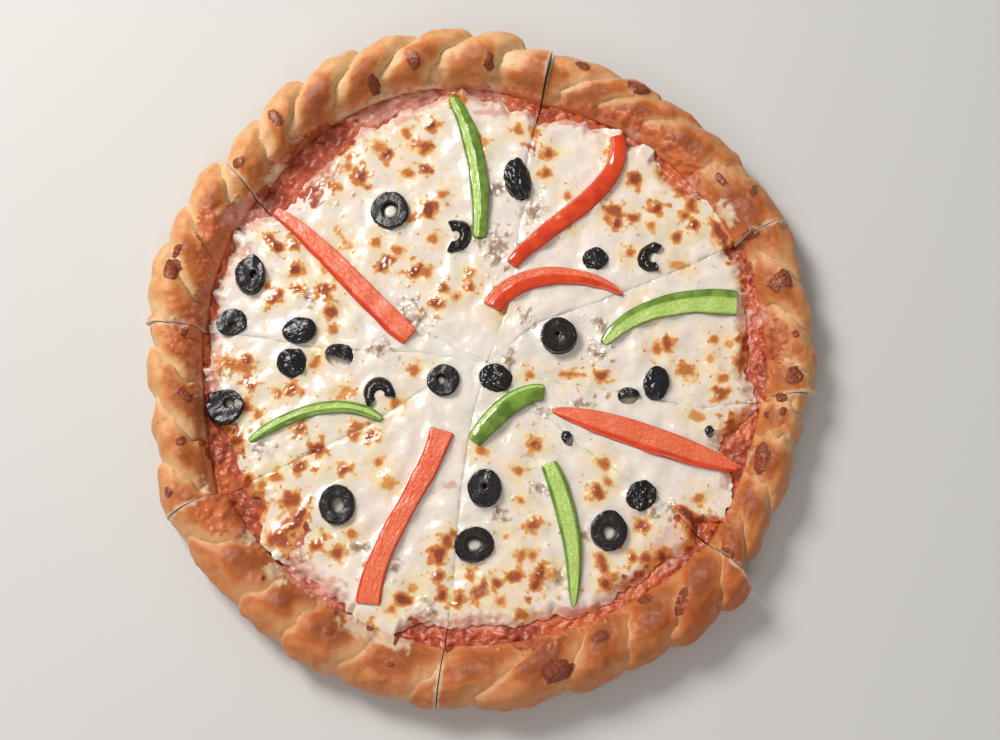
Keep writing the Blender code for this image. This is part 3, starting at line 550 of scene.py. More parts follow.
# %% Sauce and crumbs in the cheese
BLEEDS = (
    (-76, 92, 20, 30, 30), (-66, 104, 18, 12), (-98, 66, 14, 8, -30), (93, 92, 12, 8, -40),
    (90, 100, 18, 8, -40), (107, 55, 5, 12), (-67, -104, 14, 5, 10), (-98, -70, 14, 8),
    (-87, -85, 10, 10), (22, -47, 6, 3), (-13, -61, 6, 4), (94, -77, 16, 10, -45), (118, 0, 7, 22),
    (-118, -5, 8, 18), (112, -38, 7, 18, 15), (-5, -120, 12, 5), (18, -125, 14, 5),
    (41, -117, 18, 6, -10), (64, -104, 16, 5, 10), (5, 116, 22, 5), (-108, 46, 8, 12), (-122, 20, 7, 24),
    (-36, 112, 16, 6, 20), (122, 30, 5, 12), (40, 112, 20, 5, -10),
)
CRUMBS = (
    (23, 67, 8, 8), (7, 77, 5, 5), (5, 52, 10, 10), (-32, 16, 12, 10), (6, 47, 6, 12), (-45, 1, 8, 4),
    (12, -5, 4, 4), (54, 12, 4, 4), (53, 0, 6, 6), (28, -29, 4, 3), (45, -25, 8, 2), (21, 15, 3, 3),
    (-117, -11, 8, 6), (-78, 25, 4, 4), (-80, -38, 4, 4), (-98, -44, 6, 5), (-80, -95, 6, 10),
    (-53, -88, 5, 3), (-37, -97, 4, 4), (-23, -114, 5, 6), (33, -101, 8, 6), (8, -74, 5, 4),
    (26, -63, 4, 3), (46, -82, 4, 4), (76, -73, 4, 4), (85, -72, 5, 4), (-72, 85, 7, 14, 20),
)
print("bleeds", len(BLEEDS), "crumb spots", len(CRUMBS))

# %% Pieces of ring, cream and burnt drops
CAUGHT = (
    (0, 7, 129, 136), (15, 17.5, 122, 131), (17, 20.5, 124, 130), (22, 31, 124, 129),
    (76.5, 78.5, 100, 114), (120, 134, 118, 137), (133, 138, 104, 117), (140, 145, 120, 131),
    (170, 173, 135, 147), (196, 203, 113, 127), (207, 211, 117, 123), (210, 216, 117, 127),
    (221, 227, 107, 124), (255, 260, 119, 124), (274, 281, 120, 132), (300, 309, 117, 120),
    (310, 313, 117, 125), (318, 323, 111, 131), (337, 342, 118, 127), (353, 360, 124, 128),
)
OILY = (
    (10.5, 14.5, 120, 132), (40, 48, 119, 136), (50, 64, 131, 141), (125, 131, 129, 137),
    (151, 160, 128, 149), (160, 168, 127, 138), (174.5, 180, 124, 143), (203, 209, 123, 133),
    (207, 215, 128, 145), (282, 296, 120, 127), (300, 310, 118, 126), (318, 325, 123, 131),
    (341, 348, 114, 124), (66, 76, 125, 133), (80, 86, 126, 137),
)
FILMED = (
    (7, 10.7, 120, 134), (37, 42, 124, 132), (56, 59, 123, 132), (86, 98, 125, 133), (100, 118, 124, 133),
    (143, 152, 120, 138), (183, 187, 118, 128), (227, 232, 117, 130), (233, 240, 120, 130),
    (263, 274, 115, 121), (310, 318, 111, 125),
)
CREAM = (
    (29, 34, 129, 135), (98, 119, 132.5, 135.5), (135, 140, 123, 134), (205, 207, 134, 137),
    (217, 220, 117, 133), (225, 229, 129, 134.5), (243, 256, 124, 134.5), (265, 271, 121, 127.5),
    (336.7, 340, 123, 127),
)
BURNT = (
    (14.5, 140, 8, 7), (13.8, 135, 6, 5), (32, 146, 3, 6, 30), (37, 137, 8, 3), (24.8, 134, 5, 7),
    (60.5, 148, 10, 8), (71.5, 147, 7, 4), (98, 124, 5, 7), (103, 146, 6, 8), (89, 141, 4, 10),
    (111.5, 140, 5, 11), (141, 145, 7, 4), (130.5, 149, 5, 9), (164.3, 146, 9, 7), (161, 147, 7, 3),
    (175.7, 134, 5, 3), (188.2, 133, 8, 4, 30), (196.7, 138, 4, 4), (198.3, 129.6, 3, 3),
    (200.5, 128.4, 5, 3), (204.5, 150, 5, 3), (220.7, 127, 2, 5), (226.5, 137, 2, 2), (241.3, 129, 2, 4),
    (242, 138, 3.5, 3), (248.5, 129.6, 3.5, 3), (253.8, 128, 2.5, 9), (254, 141, 3, 2),
    (263.7, 129, 4, 5), (283, 142, 13, 9), (280, 154, 9, 4), (292, 134, 7, 4), (302.7, 128.8, 5, 4),
    (307.7, 138.6, 13, 4, 30), (320, 137.8, 3.5, 6), (338.7, 131, 13, 6), (347.5, 128.6, 3, 2),
    (348.8, 135, 4, 3), (351.3, 133.7, 4, 5), (355.8, 138.6, 8, 7), (3.7, 140, 3, 3),
)
print("pieces of ring", len(CAUGHT) + len(OILY) + len(FILMED), "burnt drops", len(BURNT))

# %% All these marks on their maps
bleed, crumbly, caught, oily, filmed, cream, burnt = (blank() for _ in range(7))
for field, marks, spare, soft, ragged in ((bleed, BLEEDS, 0.0, 0.6, 0.45), (crumbly, CRUMBS, 2.0, 0.5, 0.4)):
    for x, y, wide, deep, *turn in marks:
        mark(field, x, y, wide + spare, deep + spare, turn[0] if turn else 0.0, 1.0, soft, ragged)
for field, marks in ((caught, CAUGHT), (oily, OILY), (filmed, FILMED), (cream, CREAM)):
    for piece_of_ring in marks:
        band(field, *piece_of_ring, soft=2.2 if field is cream else 1.1)
for bearing, radius, along, across, *slant in BURNT:
    x, y = polar(radius, bearing) + SHIFT
    mark(burnt, x, y, along, across, bearing + 90.0 + (slant[0] if slant else 0.0), 1.0, 0.45, 0.14)
print("caught share of the map", round(float((caught > 0.5).mean()), 4))

# %% [markdown]
# ## Melted cheese
# Cheese melts into one skin with soft lumps, drapes over what lies beneath, climbs
# the sides of the toppings a little and thins to nothing over the sauce. No stack of
# hand tools gives that, so each slice starts as a grid primitive whose points are
# laid out between the two cut walls and lifted by the maps. Its border is then
# extruded down by hand and closed underneath.

# %% A grid, and its points
def named(name):
    """Name the piece that was just added, and its mesh."""
    piece = bpy.context.object
    piece.name = piece.data.name = name
    return piece


def grid(name, columns, rows):
    """A grid primitive one unit wide, and the share across and along of its points."""
    object_mode()
    bpy.ops.mesh.primitive_grid_add(x_subdivisions=columns, y_subdivisions=rows, size=1.0)
    piece = named(name)
    spots = points_of(piece)
    return piece, np.clip(spots[:, 0] + 0.5, 0.0, 1.0), np.clip(spots[:, 1] + 0.5, 0.0, 1.0)


def points_of(piece):
    """The points of a mesh, as rows of three numbers."""
    spots = np.empty(len(piece.data.vertices) * 3, np.float32)
    piece.data.vertices.foreach_get("co", spots)
    return spots.reshape(-1, 3).astype(float)


def move_points(piece, x, y, z):
    """Move a mesh's points to places in millimetres."""
    spots = np.stack((x, y, z), -1) * MM
    piece.data.vertices.foreach_set("co", spots.astype(np.float32).ravel())
    piece.data.update()


def paint(piece, **tones):
    """Store numbers for each point under these names, for a material to read."""
    for name, values in tones.items():
        layer = piece.data.attributes.new(name, "FLOAT", "POINT")
        layer.data.foreach_set("value", np.clip(values, 0.0, 1.0).astype(np.float32))


print("a grid's points are moved in steps of", MM, "m and painted from 0 to 1")

# %% Steps by hand that come back
WELD = 0.02 * MM


def weld():
    """Join the points of the piece in hand that lie on top of one another."""
    bpy.ops.object.mode_set(mode="EDIT")
    bpy.ops.mesh.select_all(action="SELECT")
    bpy.ops.mesh.remove_doubles(threshold=WELD)
    bpy.ops.object.mode_set(mode="OBJECT")


def select_border():
    """Go to edit mode and select the open edges."""
    bpy.ops.object.mode_set(mode="EDIT")
    bpy.ops.mesh.select_mode(type="EDGE")
    bpy.ops.mesh.select_all(action="DESELECT")
    bpy.ops.mesh.select_non_manifold()


def face_outward():
    """Turn every face outward and leave edit mode."""
    bpy.ops.mesh.select_all(action="SELECT")
    bpy.ops.mesh.normals_make_consistent(inside=False)
    bpy.ops.object.mode_set(mode="OBJECT")


def drop_border(piece, bottom, inset=None):
    """Extrude a sheet's border down to a height and close the underside."""
    first_new = len(piece.data.vertices)
    select_border()
    bpy.ops.mesh.extrude_edges_move()
    bpy.ops.object.mode_set(mode="OBJECT")
    spots = points_of(piece) / MM
    spots[first_new:, 2] = bottom
    if inset is not None:
        spots[first_new:, :2] = inset(spots[first_new:, :2])
    move_points(piece, *spots.T)
    bpy.ops.object.mode_set(mode="EDIT")
    bpy.ops.mesh.edge_face_add()
    face_outward()


def finish(piece, paint_job, slot, *nodes, angle=60.0):
    """Shade a piece, give it its material, hang it from the root and hide the solids it stands for."""
    object_mode()
    piece.select_set(True)
    bpy.context.view_layer.objects.active = piece
    bpy.ops.object.shade_smooth_by_angle(angle=math.radians(angle))
    if paint_job:
        piece.data.materials.append(paint_job)
    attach(piece, "root")
    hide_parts(*nodes)
    return piece


print("points closer than", WELD, "m are welded")

# %% The lie of the cheese
wide_lumps, lumps, dimples, grit = cloud(21, 7.0), cloud(22, 3.2), cloud(23, 1.6), cloud(24, 0.8)
wander = cloud(25, 6.0)
CHEESE_COLUMNS, CHEESE_ROWS = 150, 230
CORE_SHARE, CHEESE_LIP, CHEESE_TUCK, RING_LEVEL, RIM_LEVEL = 0.1, 0.17, 0.35, 11.0, 18.0


def cheese_height(x, y):
    """The height of the cheese over the plan, away from its border."""
    px, py = x - SHIFT[0], y - SHIFT[1]
    wave = np.sin(px / 9.0 + 0.6) * np.cos(py / 8.0) + 0.7 * np.sin((px + py) / 14.0)
    height = CHEESE_TOP + 0.45 * wave + 0.25 * read(wide_lumps, x, y)
    height += 0.045 * read(lumps, x, y) + 0.012 * read(dimples, x, y)
    crumbs = read(crumbly, x, y)
    height += crumbs * (0.35 + 0.25 * read(lumps, x, y) + 0.22 * read(dimples, x, y))
    browned = read(toast, x, y)
    height += browned * (0.30 + 0.03 * read(grit, x, y) + 0.08 * read(dimples, x, y))
    return height


def ring_tones(piece, x, y, z):
    """Paint the tones of the sauce on a piece's points."""
    seen = as_seen(x, y, z, RING_LEVEL)
    paint(piece, caught=read(caught, *seen), oily=read(oily, *seen), filmed=read(filmed, *seen))


print("cheese in the middle is", round(float(cheese_height(0.0, 0.0)), 2), "mm high")


# %% The cheese of one slice
def cheese_piece(plan):
    """The melted cheese of one slice."""
    piece, share, along = grid(f"melted_cheese_{plan.number}", CHEESE_COLUMNS, CHEESE_ROWS)
    foot = plan.foot_radius(share)
    border = plan.bearing(share) * RIM_ARC
    edge = plan.cheese_radius(share)
    edge += 0.9 * read(wander, border, 40.0) + 0.4 * read(lumps, border, 80.0)
    edge += 0.1 * read(dimples, border, 0.0)
    edge = np.minimum(edge, foot + 0.4)
    touching = 1.0 - smooth(foot - edge, 0.3, 2.5)
    core = np.clip(along / CORE_SHARE, 0.0, 1.0)
    spread = np.clip((along - CORE_SHARE) / (1.0 - CORE_SHARE), 0.0, 1.0) ** 0.96
    radius = CORE + (edge - CORE) * spread
    spot = plan.place(share, radius, CHEESE_LIP)
    spot = plan.tip + (spot - plan.tip) * core[:, None]
    x, y = (spot + SHIFT).T
    height = cheese_height(x, y)
    gap = read(apart, x, y)
    height += 0.6 * np.exp(-np.maximum(gap, 0.0) / 1.1) - 0.2 * np.exp(-((gap - 3.5) / 2.0) ** 2)
    inward = edge - radius
    width = np.maximum(np.hypot(*spot.T), 4.0) * math.radians(plan.end - plan.start)
    wall = np.minimum(share, 1.0 - share) * width
    cut_depth = 0.5 + 0.7 * smooth(read(wander, x * 1.6, y * 1.6), -0.6, 1.4)
    height -= cut_depth * smooth(radius * core, 8.0, 24.0) * np.exp(-wall / 0.95)
    thin = np.maximum(smooth(inward, -0.5, 7.0) ** 0.75, touching)
    over = CHEESE_BOTTOM + 0.6 + 0.25 * read(dimples, x, y)
    height = over + (height - over) * thin
    sunk = smooth(gap, -0.85, -0.1)
    sunk = np.maximum(sunk, 0.8 * read(well, x, y))
    height = read(bed_floor, x, y) * (1.0 - sunk) + height * sunk
    height = np.maximum(height, CHEESE_BOTTOM + 0.25)
    move_points(piece, x, y, height)
    weld()

    def tuck(border_spots):
        """Draw the foot of the cut walls back to where the solid has them."""
        middle = plan.place(np.full(1, 0.5), np.full(1, 60.0))[0] + SHIFT
        away = middle - border_spots
        return border_spots + away / np.linalg.norm(away, axis=1)[:, None] * CHEESE_TUCK

    drop_border(piece, CHEESE_BOTTOM, tuck)
    spots = points_of(piece) / MM
    x, y = spots[:, 0], spots[:, 1]
    bearing, from_middle = around(x, y)
    share = np.clip((plan.near(bearing) - plan.start) / (plan.end - plan.start), 0.0, 1.0)
    rim_side = smooth(plan.foot_radius(share) - plan.cheese_radius(share), 0.5, 3.0)
    inward = plan.cheese_radius(share) - from_middle
    edge_red = 0.62 * rim_side * (1.0 - smooth(inward + 1.4 * read(lumps, x, y), 0.0, 4.5))
    marked = np.maximum(read(caught, x, y), np.maximum(0.8 * read(oily, x, y), 0.6 * read(filmed, x, y)))
    reddened = np.maximum(np.maximum(edge_red, 0.62 * read(bleed, x, y)), marked)
    paint(piece, toast=read(toast, x, y), halo=read(halo, x, y), sauce=reddened, crumb=read(crumbly, x, y))
    ring_tones(piece, x, y, spots[:, 2])
    return piece


print("its lips reach", CHEESE_LIP, "mm into each cut")

# %% [markdown]
# ### Materials
# All the finishes are node trees on the Principled shader. One helper starts a
# finish, and the others add a node to it, fill its sockets and link it in one line,
# which keeps each recipe readable.

# %% Helpers for materials
def new_finish(name, **constants):
    """Start a finish, which the helpers below add to; constants go straight on its sockets."""
    global tree, shader
    made = bpy.data.materials.new(name)
    made.use_nodes = True
    tree = made.node_tree
    shader = tree.nodes["Principled BSDF"]
    for key, value in constants.items():
        shader.inputs[key.replace("_", " ")].default_value = value
    return made


def feed(socket, value):
    """Link a value to a socket of the shader."""
    tree.links.new(value, shader.inputs[socket])


def put(kind, sockets=(), **settings):
    """Add a node; sockets maps names or numbers to values or to other outputs."""
    node = tree.nodes.new(kind)
    for key, value in settings.items():
        setattr(node, key, value)
    for key, value in dict(sockets).items():
        if isinstance(value, bpy.types.NodeSocket):
            tree.links.new(value, node.inputs[key])
        else:
            node.inputs[key].default_value = value
    return node


print(len(bpy.data.materials), "materials so far, from the solids and the floor")


# %% Values for a recipe
def painted(name):
    """The number that was painted on the points under this name."""
    return put("ShaderNodeAttribute", attribute_name=name).outputs["Fac"]


def grain(size, detail=3.0, rough=0.55, distortion=0.0):
    """Noise with lumps about this many millimetres across, from 0 to 1."""
    place = put("ShaderNodeTexCoord").outputs["Object"]
    sockets = {"Vector": place, "Scale": 1.0 / (2.0 * size * MM), "Detail": detail,
               "Roughness": rough, "Distortion": distortion}
    return put("ShaderNodeTexNoise", sockets).outputs["Fac"]


def calc(operation, first, second=0.5, clamp=False):
    """One sum on two numbers."""
    return put("ShaderNodeMath", {0: first, 1: second}, operation=operation, use_clamp=clamp).outputs[0]


def times(first, second):
    """Two numbers multiplied."""
    return calc("MULTIPLY", first, second)


def plus(first, second, clamp=False):
    """Two numbers added."""
    return calc("ADD", first, second, clamp)


def centred(value):
    """A number from 0 to 1 moved to lie round 0."""
    return calc("SUBTRACT", value, 0.5)


def rest_of(value):
    """What is left of one."""
    return calc("SUBTRACT", 1.0, value)


print("noise of 1 mm has a scale of", 1.0 / (2.0 * MM))


# %% Colours and relief for a recipe
def ramp(value, *stops):
    """Colours at stops along a value."""
    node = put("ShaderNodeValToRGB", {"Fac": value})
    stops = sorted(stops)
    elements = node.color_ramp.elements
    while len(elements) < len(stops):
        elements.new(0.5)
    for element, (at, colour) in zip(elements, stops):
        element.position = at
        element.color = (*colour, 1.0)
    return node.outputs["Color"]


def blend_colour(share, first, second, kind="MIX"):
    """Mix two colours, each a value or a socket."""
    node = put("ShaderNodeMix", {0: share}, data_type="RGBA", blend_type=kind, clamp_factor=True)
    for socket, colour in ((node.inputs[6], first), (node.inputs[7], second)):
        if isinstance(colour, bpy.types.NodeSocket):
            tree.links.new(colour, socket)
        else:
            socket.default_value = (*colour, 1.0)
    return node.outputs[2]


def ease(value, low, high):
    """A value turned to 0 at low and 1 at high."""
    sockets = {"Value": value, "From Min": low, "From Max": high}
    return put("ShaderNodeMapRange", sockets, interpolation_type="SMOOTHSTEP").outputs[0]


def bump(height, depth):
    """Relief finer than the mesh, this many millimetres deep."""
    node = put("ShaderNodeBump", {"Height": height, "Strength": 1.0, "Distance": depth * MM})
    feed("Normal", node.outputs["Normal"])


print("a relief of 0.1 mm is", 0.1 * MM, "m")

# %% [markdown]
# Melted cheese is a white, slightly see-through skin with a film of oil. It yellows
# around each blister, turns gold and then red-brown at its core, and it is pink where
# the sauce shows through. Subsurface light softens it, and fine noise breaks the
# borders between the tones.

# %% Sauce tones
def sauce_colour(wet_red):
    """Tint a red by the painted tones of the ring: oily orange, filmed pink, caught brown."""
    fleck = grain(1.1, 4.0, 0.65)
    orange = blend_colour(fleck, (0.52, 0.095, 0.024), (0.76, 0.22, 0.065))
    pink = blend_colour(fleck, (0.66, 0.20, 0.13), (0.84, 0.50, 0.40))
    brown = blend_colour(fleck, (0.20, 0.028, 0.012), (0.46, 0.09, 0.035))
    patchy = plus(times(ease(grain(3.5, 4.0, 0.6), 0.36, 0.6), 0.7), 0.25)
    spotty = plus(times(ease(grain(2.4, 4.0, 0.6), 0.58, 0.4), 0.6), 0.4)
    mixed = blend_colour(times(painted("oily"), 0.85), wet_red, orange)
    mixed = blend_colour(times(painted("filmed"), patchy), mixed, pink)
    return blend_colour(times(painted("caught"), spotty), mixed, brown)


print("the ring's tones are read", RING_LEVEL, "mm above the table")

# %% Cheese finish
cheese_finish = new_finish(
    "melted_cheese", Subsurface_Weight=0.3, Subsurface_Scale=0.0035, Coat_Weight=0.28, Coat_Roughness=0.1)
fine = grain(0.5, 4.0, 0.6)
soft_tone = grain(5.0, 3.0, 0.6)
broken = times(centred(fine), 0.4)
browning = plus(painted("toast"), times(broken, ease(painted("toast"), 0.06, 0.4)))
milk = blend_colour(ease(soft_tone, 0.35, 0.7), (0.84, 0.745, 0.67), (0.90, 0.80, 0.70))
yellow = times(painted("halo"), ease(soft_tone, 0.2, 0.6))
creamy = blend_colour(times(yellow, 0.9), milk, (0.88, 0.68, 0.38))
lumpy = times(painted("crumb"), ease(grain(2.0, 4.0, 0.6), 0.38, 0.58))
crumbs = blend_colour(lumpy, creamy, (0.40, 0.27, 0.18))
below = sauce_colour((0.68, 0.20, 0.11))
showing = ease(plus(painted("sauce"), broken), 0.2, 1.0)
pink = blend_colour(showing, crumbs, below)
burnt_tone = ramp(browning, (0.0, (0.86, 0.62, 0.30)), (0.2, (0.80, 0.44, 0.14)),
                  (0.4, (0.68, 0.25, 0.065)), (0.66, (0.48, 0.13, 0.038)), (0.95, (0.29, 0.06, 0.022)))
skin = blend_colour(ease(browning, 0.1, 0.32), pink, burnt_tone)
feed("Base Color", skin)
wet = ease(grain(1.6, 2.0), 0.3, 0.75)
feed("Roughness", plus(times(wet, 0.2), 0.14))
relief = plus(times(fine, 0.6), grain(1.5, 3.0))
bump(relief, 0.09)
print("cheese finish of", len(tree.nodes), "nodes")

# %% The eight sheets of cheese
cheese = []
for plan in plans:
    piece = cheese_piece(plan)
    cheese.append(finish(piece, cheese_finish, "melted_cheese", f"cheese_slice_{plan.number}"))
print("cheese points", sum(len(piece.data.vertices) for piece in cheese))

# %% [markdown]
# ## Tomato sauce
# The sauce shows as a lumpy, glossy ring between the cheese and the rim, banked up
# against the dough and dark where it has caught. It is laid out in the same way as
# the cheese, finely only in that ring, since the rest lies hidden.

# %% The sauce of one slice
SAUCE_COLUMNS, SAUCE_ROWS = 140, 44
UNDER_DOUGH, HIDDEN_SHARE = 0.5, 0.15


def sauce_piece(plan):
    """The sauce of one slice, fine where it shows."""
    piece, share, along = grid(f"tomato_sauce_{plan.number}", SAUCE_COLUMNS, SAUCE_ROWS)
    inner = np.minimum(plan.cheese_radius(share), plan.foot_radius(share) - 2.0) - 5.0
    outer = plan.foot_radius(share) + UNDER_DOUGH
    hidden = np.clip(along / HIDDEN_SHARE, 0.0, 1.0)
    ring = np.clip((along - HIDDEN_SHARE) / (1.0 - HIDDEN_SHARE), 0.0, 1.0)
    radius = CORE + (inner - CORE) * hidden + (outer - inner) * ring
    spot = plan.place(share, radius)
    spot = np.where((along < 0.001)[:, None], plan.tip, spot)
    x, y = (spot + SHIFT).T
    bank = smooth(radius, inner + 3.0, outer)
    height = SAUCE_TOP + bank * 1.9
    rough = 0.55 * read(lumps, x, y) + 0.3 * read(dimples, x, y) + 0.06 * read(grit, x, y)
    height += ring * rough * smooth(bank, 0.1, 0.5)
    height = np.maximum(height, SAUCE_TOP - 0.3)
    move_points(piece, x, y, height)
    weld()
    drop_border(piece, SAUCE_BOTTOM)
    ring_tones(piece, *(points_of(piece).T / MM))
    return piece


print("the sauce goes", UNDER_DOUGH, "mm under the dough")

# %% Sauce finish
sauce_finish = new_finish("tomato_sauce", Roughness=0.3, Subsurface_Weight=0.08, Subsurface_Scale=0.002)
tone = plus(times(grain(2.6, 4.0, 0.65, 0.4), 0.7), times(grain(0.7, 3.0), 0.3))
red = ramp(tone, (0.28, (0.16, 0.022, 0.010)), (0.42, (0.38, 0.055, 0.022)), (0.52, (0.56, 0.11, 0.045)),
           (0.62, (0.68, 0.19, 0.08)), (0.75, (0.74, 0.38, 0.24)))
feed("Base Color", sauce_colour(red))
bump(grain(0.8, 4.0, 0.6), 0.3)
print("sauce finish of", len(tree.nodes), "nodes")

# %% The eight layers of sauce
sauces = []
for plan in plans:
    sauces.append(finish(sauce_piece(plan), sauce_finish, "tomato_sauce", f"sauce_slice_{plan.number}"))
print("sauce points", sum(len(piece.data.vertices) for piece in sauces))

# %% [markdown]
# ## The twisted rim
# The rim is a rope: two strands of dough wound round each other, so fat lobes lean
# over one after another, with a steep crease between them. Each crease is given by
# its bearing low on the inner side and high at the back, as in the solids, and each
# lobe by how brown it got. A grid primitive is wrapped round the section of each
# slice, from its tip over the rim and back underneath, in fine steps, and wrinkles,
# bubbles and burnt drops are added on top.

# %% The rope
CREASES = np.array((
    (1.0, -4.0), (11.0, 4.0), (21.0, 13.5), (42.0, 36.0), (57.0, 47.3), (65.5, 56.5), (74.5, 64.5),
    (88.0, 82.0), (99.8, 91.7), (110.3, 101.8), (119.5, 111.8), (130.0, 122.7), (136.0, 133.3),
    (147.5, 143.0), (158.0, 152.7), (169.5, 160.0), (176.5, 173.0), (185.5, 178.5), (196.5, 188.0),
    (206.5, 199.0), (219.5, 212.5), (229.5, 226.5), (237.0, 235.5), (250.0, 245.3), (264.0, 258.0),
    (278.5, 268.5), (289.0, 283.7), (298.0, 294.0), (310.0, 302.7), (319.5, 312.5), (327.5, 320.5),
    (336.5, 331.0), (345.5, 344.0), (353.8, 350.0),
))
BROWN = np.array((
    0.45, 0.6, 0.8, 0.85, 0.85, 0.75, 0.6, 0.55, 0.6, 0.65, 0.75, 0.35, 0.3, 0.75, 0.5, 0.45, 0.5,
    0.6, 0.55, 0.72, 0.65, 0.72, 0.74, 0.68, 0.7, 1.0, 0.6, 0.75, 0.85, 0.7, 0.75, 0.65, 0.6, 0.65,
))
# How much darker the rim is at each bearing: painted shade away from the big lamp, partly also a deeper
# bake.
BAKE_AND_SHADE = np.array((
    (0, 0.3), (20, 0.6), (30, 0.8), (60, 0.65), (85, 0.0), (130, 0.05), (180, 0.1), (205, 0.5),
    (225, 0.75), (250, 0.7), (270, 0.75), (300, 0.9), (315, 1.0), (345, 0.5),
))
LOW_TURN, TURN_SPAN = 45.0, 95.0
LOBE_SKEW, LOBE_ROUND, LOBE_SWELL = 0.75, 0.62, 1.1
RIM_AXIS, RIM_FADE, CROWN, CROWN_GIVE = 11.0, 22.0, 26.6, 0.45
swell_chance = random.Random(12)
SWELLS = np.array([swell_chance.uniform(-1.0, 1.0) for _ in CREASES])
print(len(CREASES), "lobes")


# %% Lobes and skin
def lobe_place(bearing, turn):
    """Which lobe of the rope each point is on, and how far across that lobe it is."""
    low, high = CREASES.T
    lines = low + np.clip((turn - LOW_TURN) / TURN_SPAN, 0.0, 1.0)[:, None] * (high - low)
    lines = np.hstack((lines[:, -2:] - 360.0, lines, lines[:, :2] + 360.0))
    before = (lines <= bearing[:, None]).sum(1) - 1
    rows = np.arange(len(lines))
    first, last = lines[rows, before], lines[rows, before + 1]
    return (before - 2) % len(CREASES), (bearing - first) / (last - first)


skin_waves, skin_pits, skin_grit = cloud(31, 7.0), cloud(32, 2.6), cloud(33, 1.1)
DOUGH_COLUMNS, RIM_ROWS = 220, 96
FLAT_RADII = (CORE, 30.0, 60.0, 84.0, 100.0)
FULL_TURN, RIM_GIRTH = 220.0, 0.24
print("the skin has", RIM_ROWS, "rows round the rim")


# %% The dough of one slice
def dough_piece(plan):
    """The base and rim of one slice."""
    rows = 2 * len(FLAT_RADII) + RIM_ROWS + 2
    piece, share, along = grid(f"baked_dough_{plan.number}", DOUGH_COLUMNS, rows)
    row = np.rint(along * rows).astype(int)
    flats = len(FLAT_RADII)
    half_width, half_height = plan.rim_width / 2.0, plan.rim_height - RIM_AXIS
    inner = math.degrees(math.asin((BASE_TOP - RIM_AXIS) / half_height))
    outer = 180.0 + math.degrees(math.asin(RIM_AXIS / half_height))
    turn = inner + (outer - inner) * (row - flats - 1) / RIM_ROWS
    arc, girth = plan.bearing(share) * RIM_ARC, turn * RIM_GIRTH
    stray = 0.35 * read(skin_waves, arc, girth + 60.0)
    lobe, place = lobe_place(plan.bearing(share) + stray, turn)
    puff = np.maximum(np.sin(math.pi * np.clip(place, 0.0, 1.0) ** LOBE_SKEW), 0.0) ** LOBE_ROUND
    fade = smooth(turn / RIM_FADE)
    lift = LOBE_SWELL * SWELLS[lobe] * puff - 1.12 * plan.crease * (1.0 - puff)
    lift += 0.3 * read(skin_waves, arc, girth) * puff + 0.07 * read(skin_pits, arc, girth)
    lift += 0.03 * read(skin_grit, arc, girth)
    angle = np.radians(turn)
    across, up = -half_width * np.cos(angle), half_height * np.sin(angle)
    reach = np.hypot(across, up)
    base_radius = plan.outer_radius(share) - half_width

    def skin(lift):
        """Distance and height of the skin, raised by this much."""
        grow = 1.0 + fade * lift / reach
        level = np.maximum(RIM_AXIS + up * grow, 1.0)
        return base_radius + across * grow, np.minimum(level, CROWN + CROWN_GIVE * (level - CROWN))

    radius, height = skin(lift)
    x, y = (plan.place(share, np.maximum(radius, CORE)) + SHIFT).T
    low, high = as_seen(x, y, height, RING_LEVEL), as_seen(x, y, height, RIM_LEVEL)
    bearing, from_middle = around(*low)
    limit = np.interp(bearing, RING[:, 0], RING[:, 2], period=360.0)
    limit += 0.9 * read(dimples, *low) + 0.8 * read(lumps, *low)
    inner_side = 1.0 - smooth(turn, 85.0, 110.0)
    stained = (1.0 - smooth(from_middle - limit, -1.3, 1.0)) * inner_side
    creamy = read(cream, *low) * inner_side
    charred = read(burnt, *high) * (1.0 - smooth(turn, 120.0, 150.0))
    rough = 0.3 + 0.12 * read(dimples, *low) + 0.3 * read(lumps, *low)
    lift += stained * rough + creamy * (0.35 + 0.12 * read(lumps, *low))
    lift += charred * (0.75 + 0.3 * read(grit, *high))
    radius, height = skin(lift)
    for step, flat in enumerate((0.0,) + FLAT_RADII):
        for at, level in ((step, BASE_TOP), (rows - step, 0.0)):
            radius = np.where(row == at, flat, radius)
            height = np.where(row == at, level, height)
    foot, table = row == flats + 1, row == flats + 1 + RIM_ROWS
    radius = np.where(foot, plan.foot_radius(share), radius)
    height = np.where(foot, BASE_TOP, np.where(table, 0.0, height))
    spot = plan.place(share, np.maximum(radius, CORE))
    spot = np.where((radius < 1.0)[:, None], plan.tip, spot)
    x, y = (spot + SHIFT).T
    on_rim = (row > flats + 1) & (row < flats + 1 + RIM_ROWS)
    move_points(piece, x, y, height)
    wall = np.minimum(share, 1.0 - share) * math.radians(plan.end - plan.start) * radius
    torn = (1.0 - smooth(wall + 0.5 * read(lumps, arc, girth), 0.2, 1.8)) * smooth(turn, 40.0, 80.0)
    # Painted shade by bearing, with some deeper browning.
    baked = np.interp(plan.bearing(share), BAKE_AND_SHADE[:, 0], BAKE_AND_SHADE[:, 1], period=360.0)
    paint(piece, puff=puff, lobe=place, turn=np.where(on_rim, turn, 0.0) / FULL_TURN, brown=BROWN[lobe],
          baked=baked, stain=stained, cream=creamy, burnt=charred, torn=torn)
    ring_tones(piece, x, y, height)
    weld()
    return piece


print("the crown gives way above", CROWN, "mm")


# %% The cut walls of the dough
def close_walls(piece, crumb_finish):
    """Fill the two open sides of a slice with crumb."""
    skin_faces = len(piece.data.polygons)
    select_border()
    bpy.ops.mesh.fill(use_beauty=True)
    face_outward()
    piece.data.materials.append(crumb_finish)
    for face in piece.data.polygons[skin_faces:]:
        face.material_index = len(piece.data.materials) - 1


print(2 * len(plans), "cut walls to close")
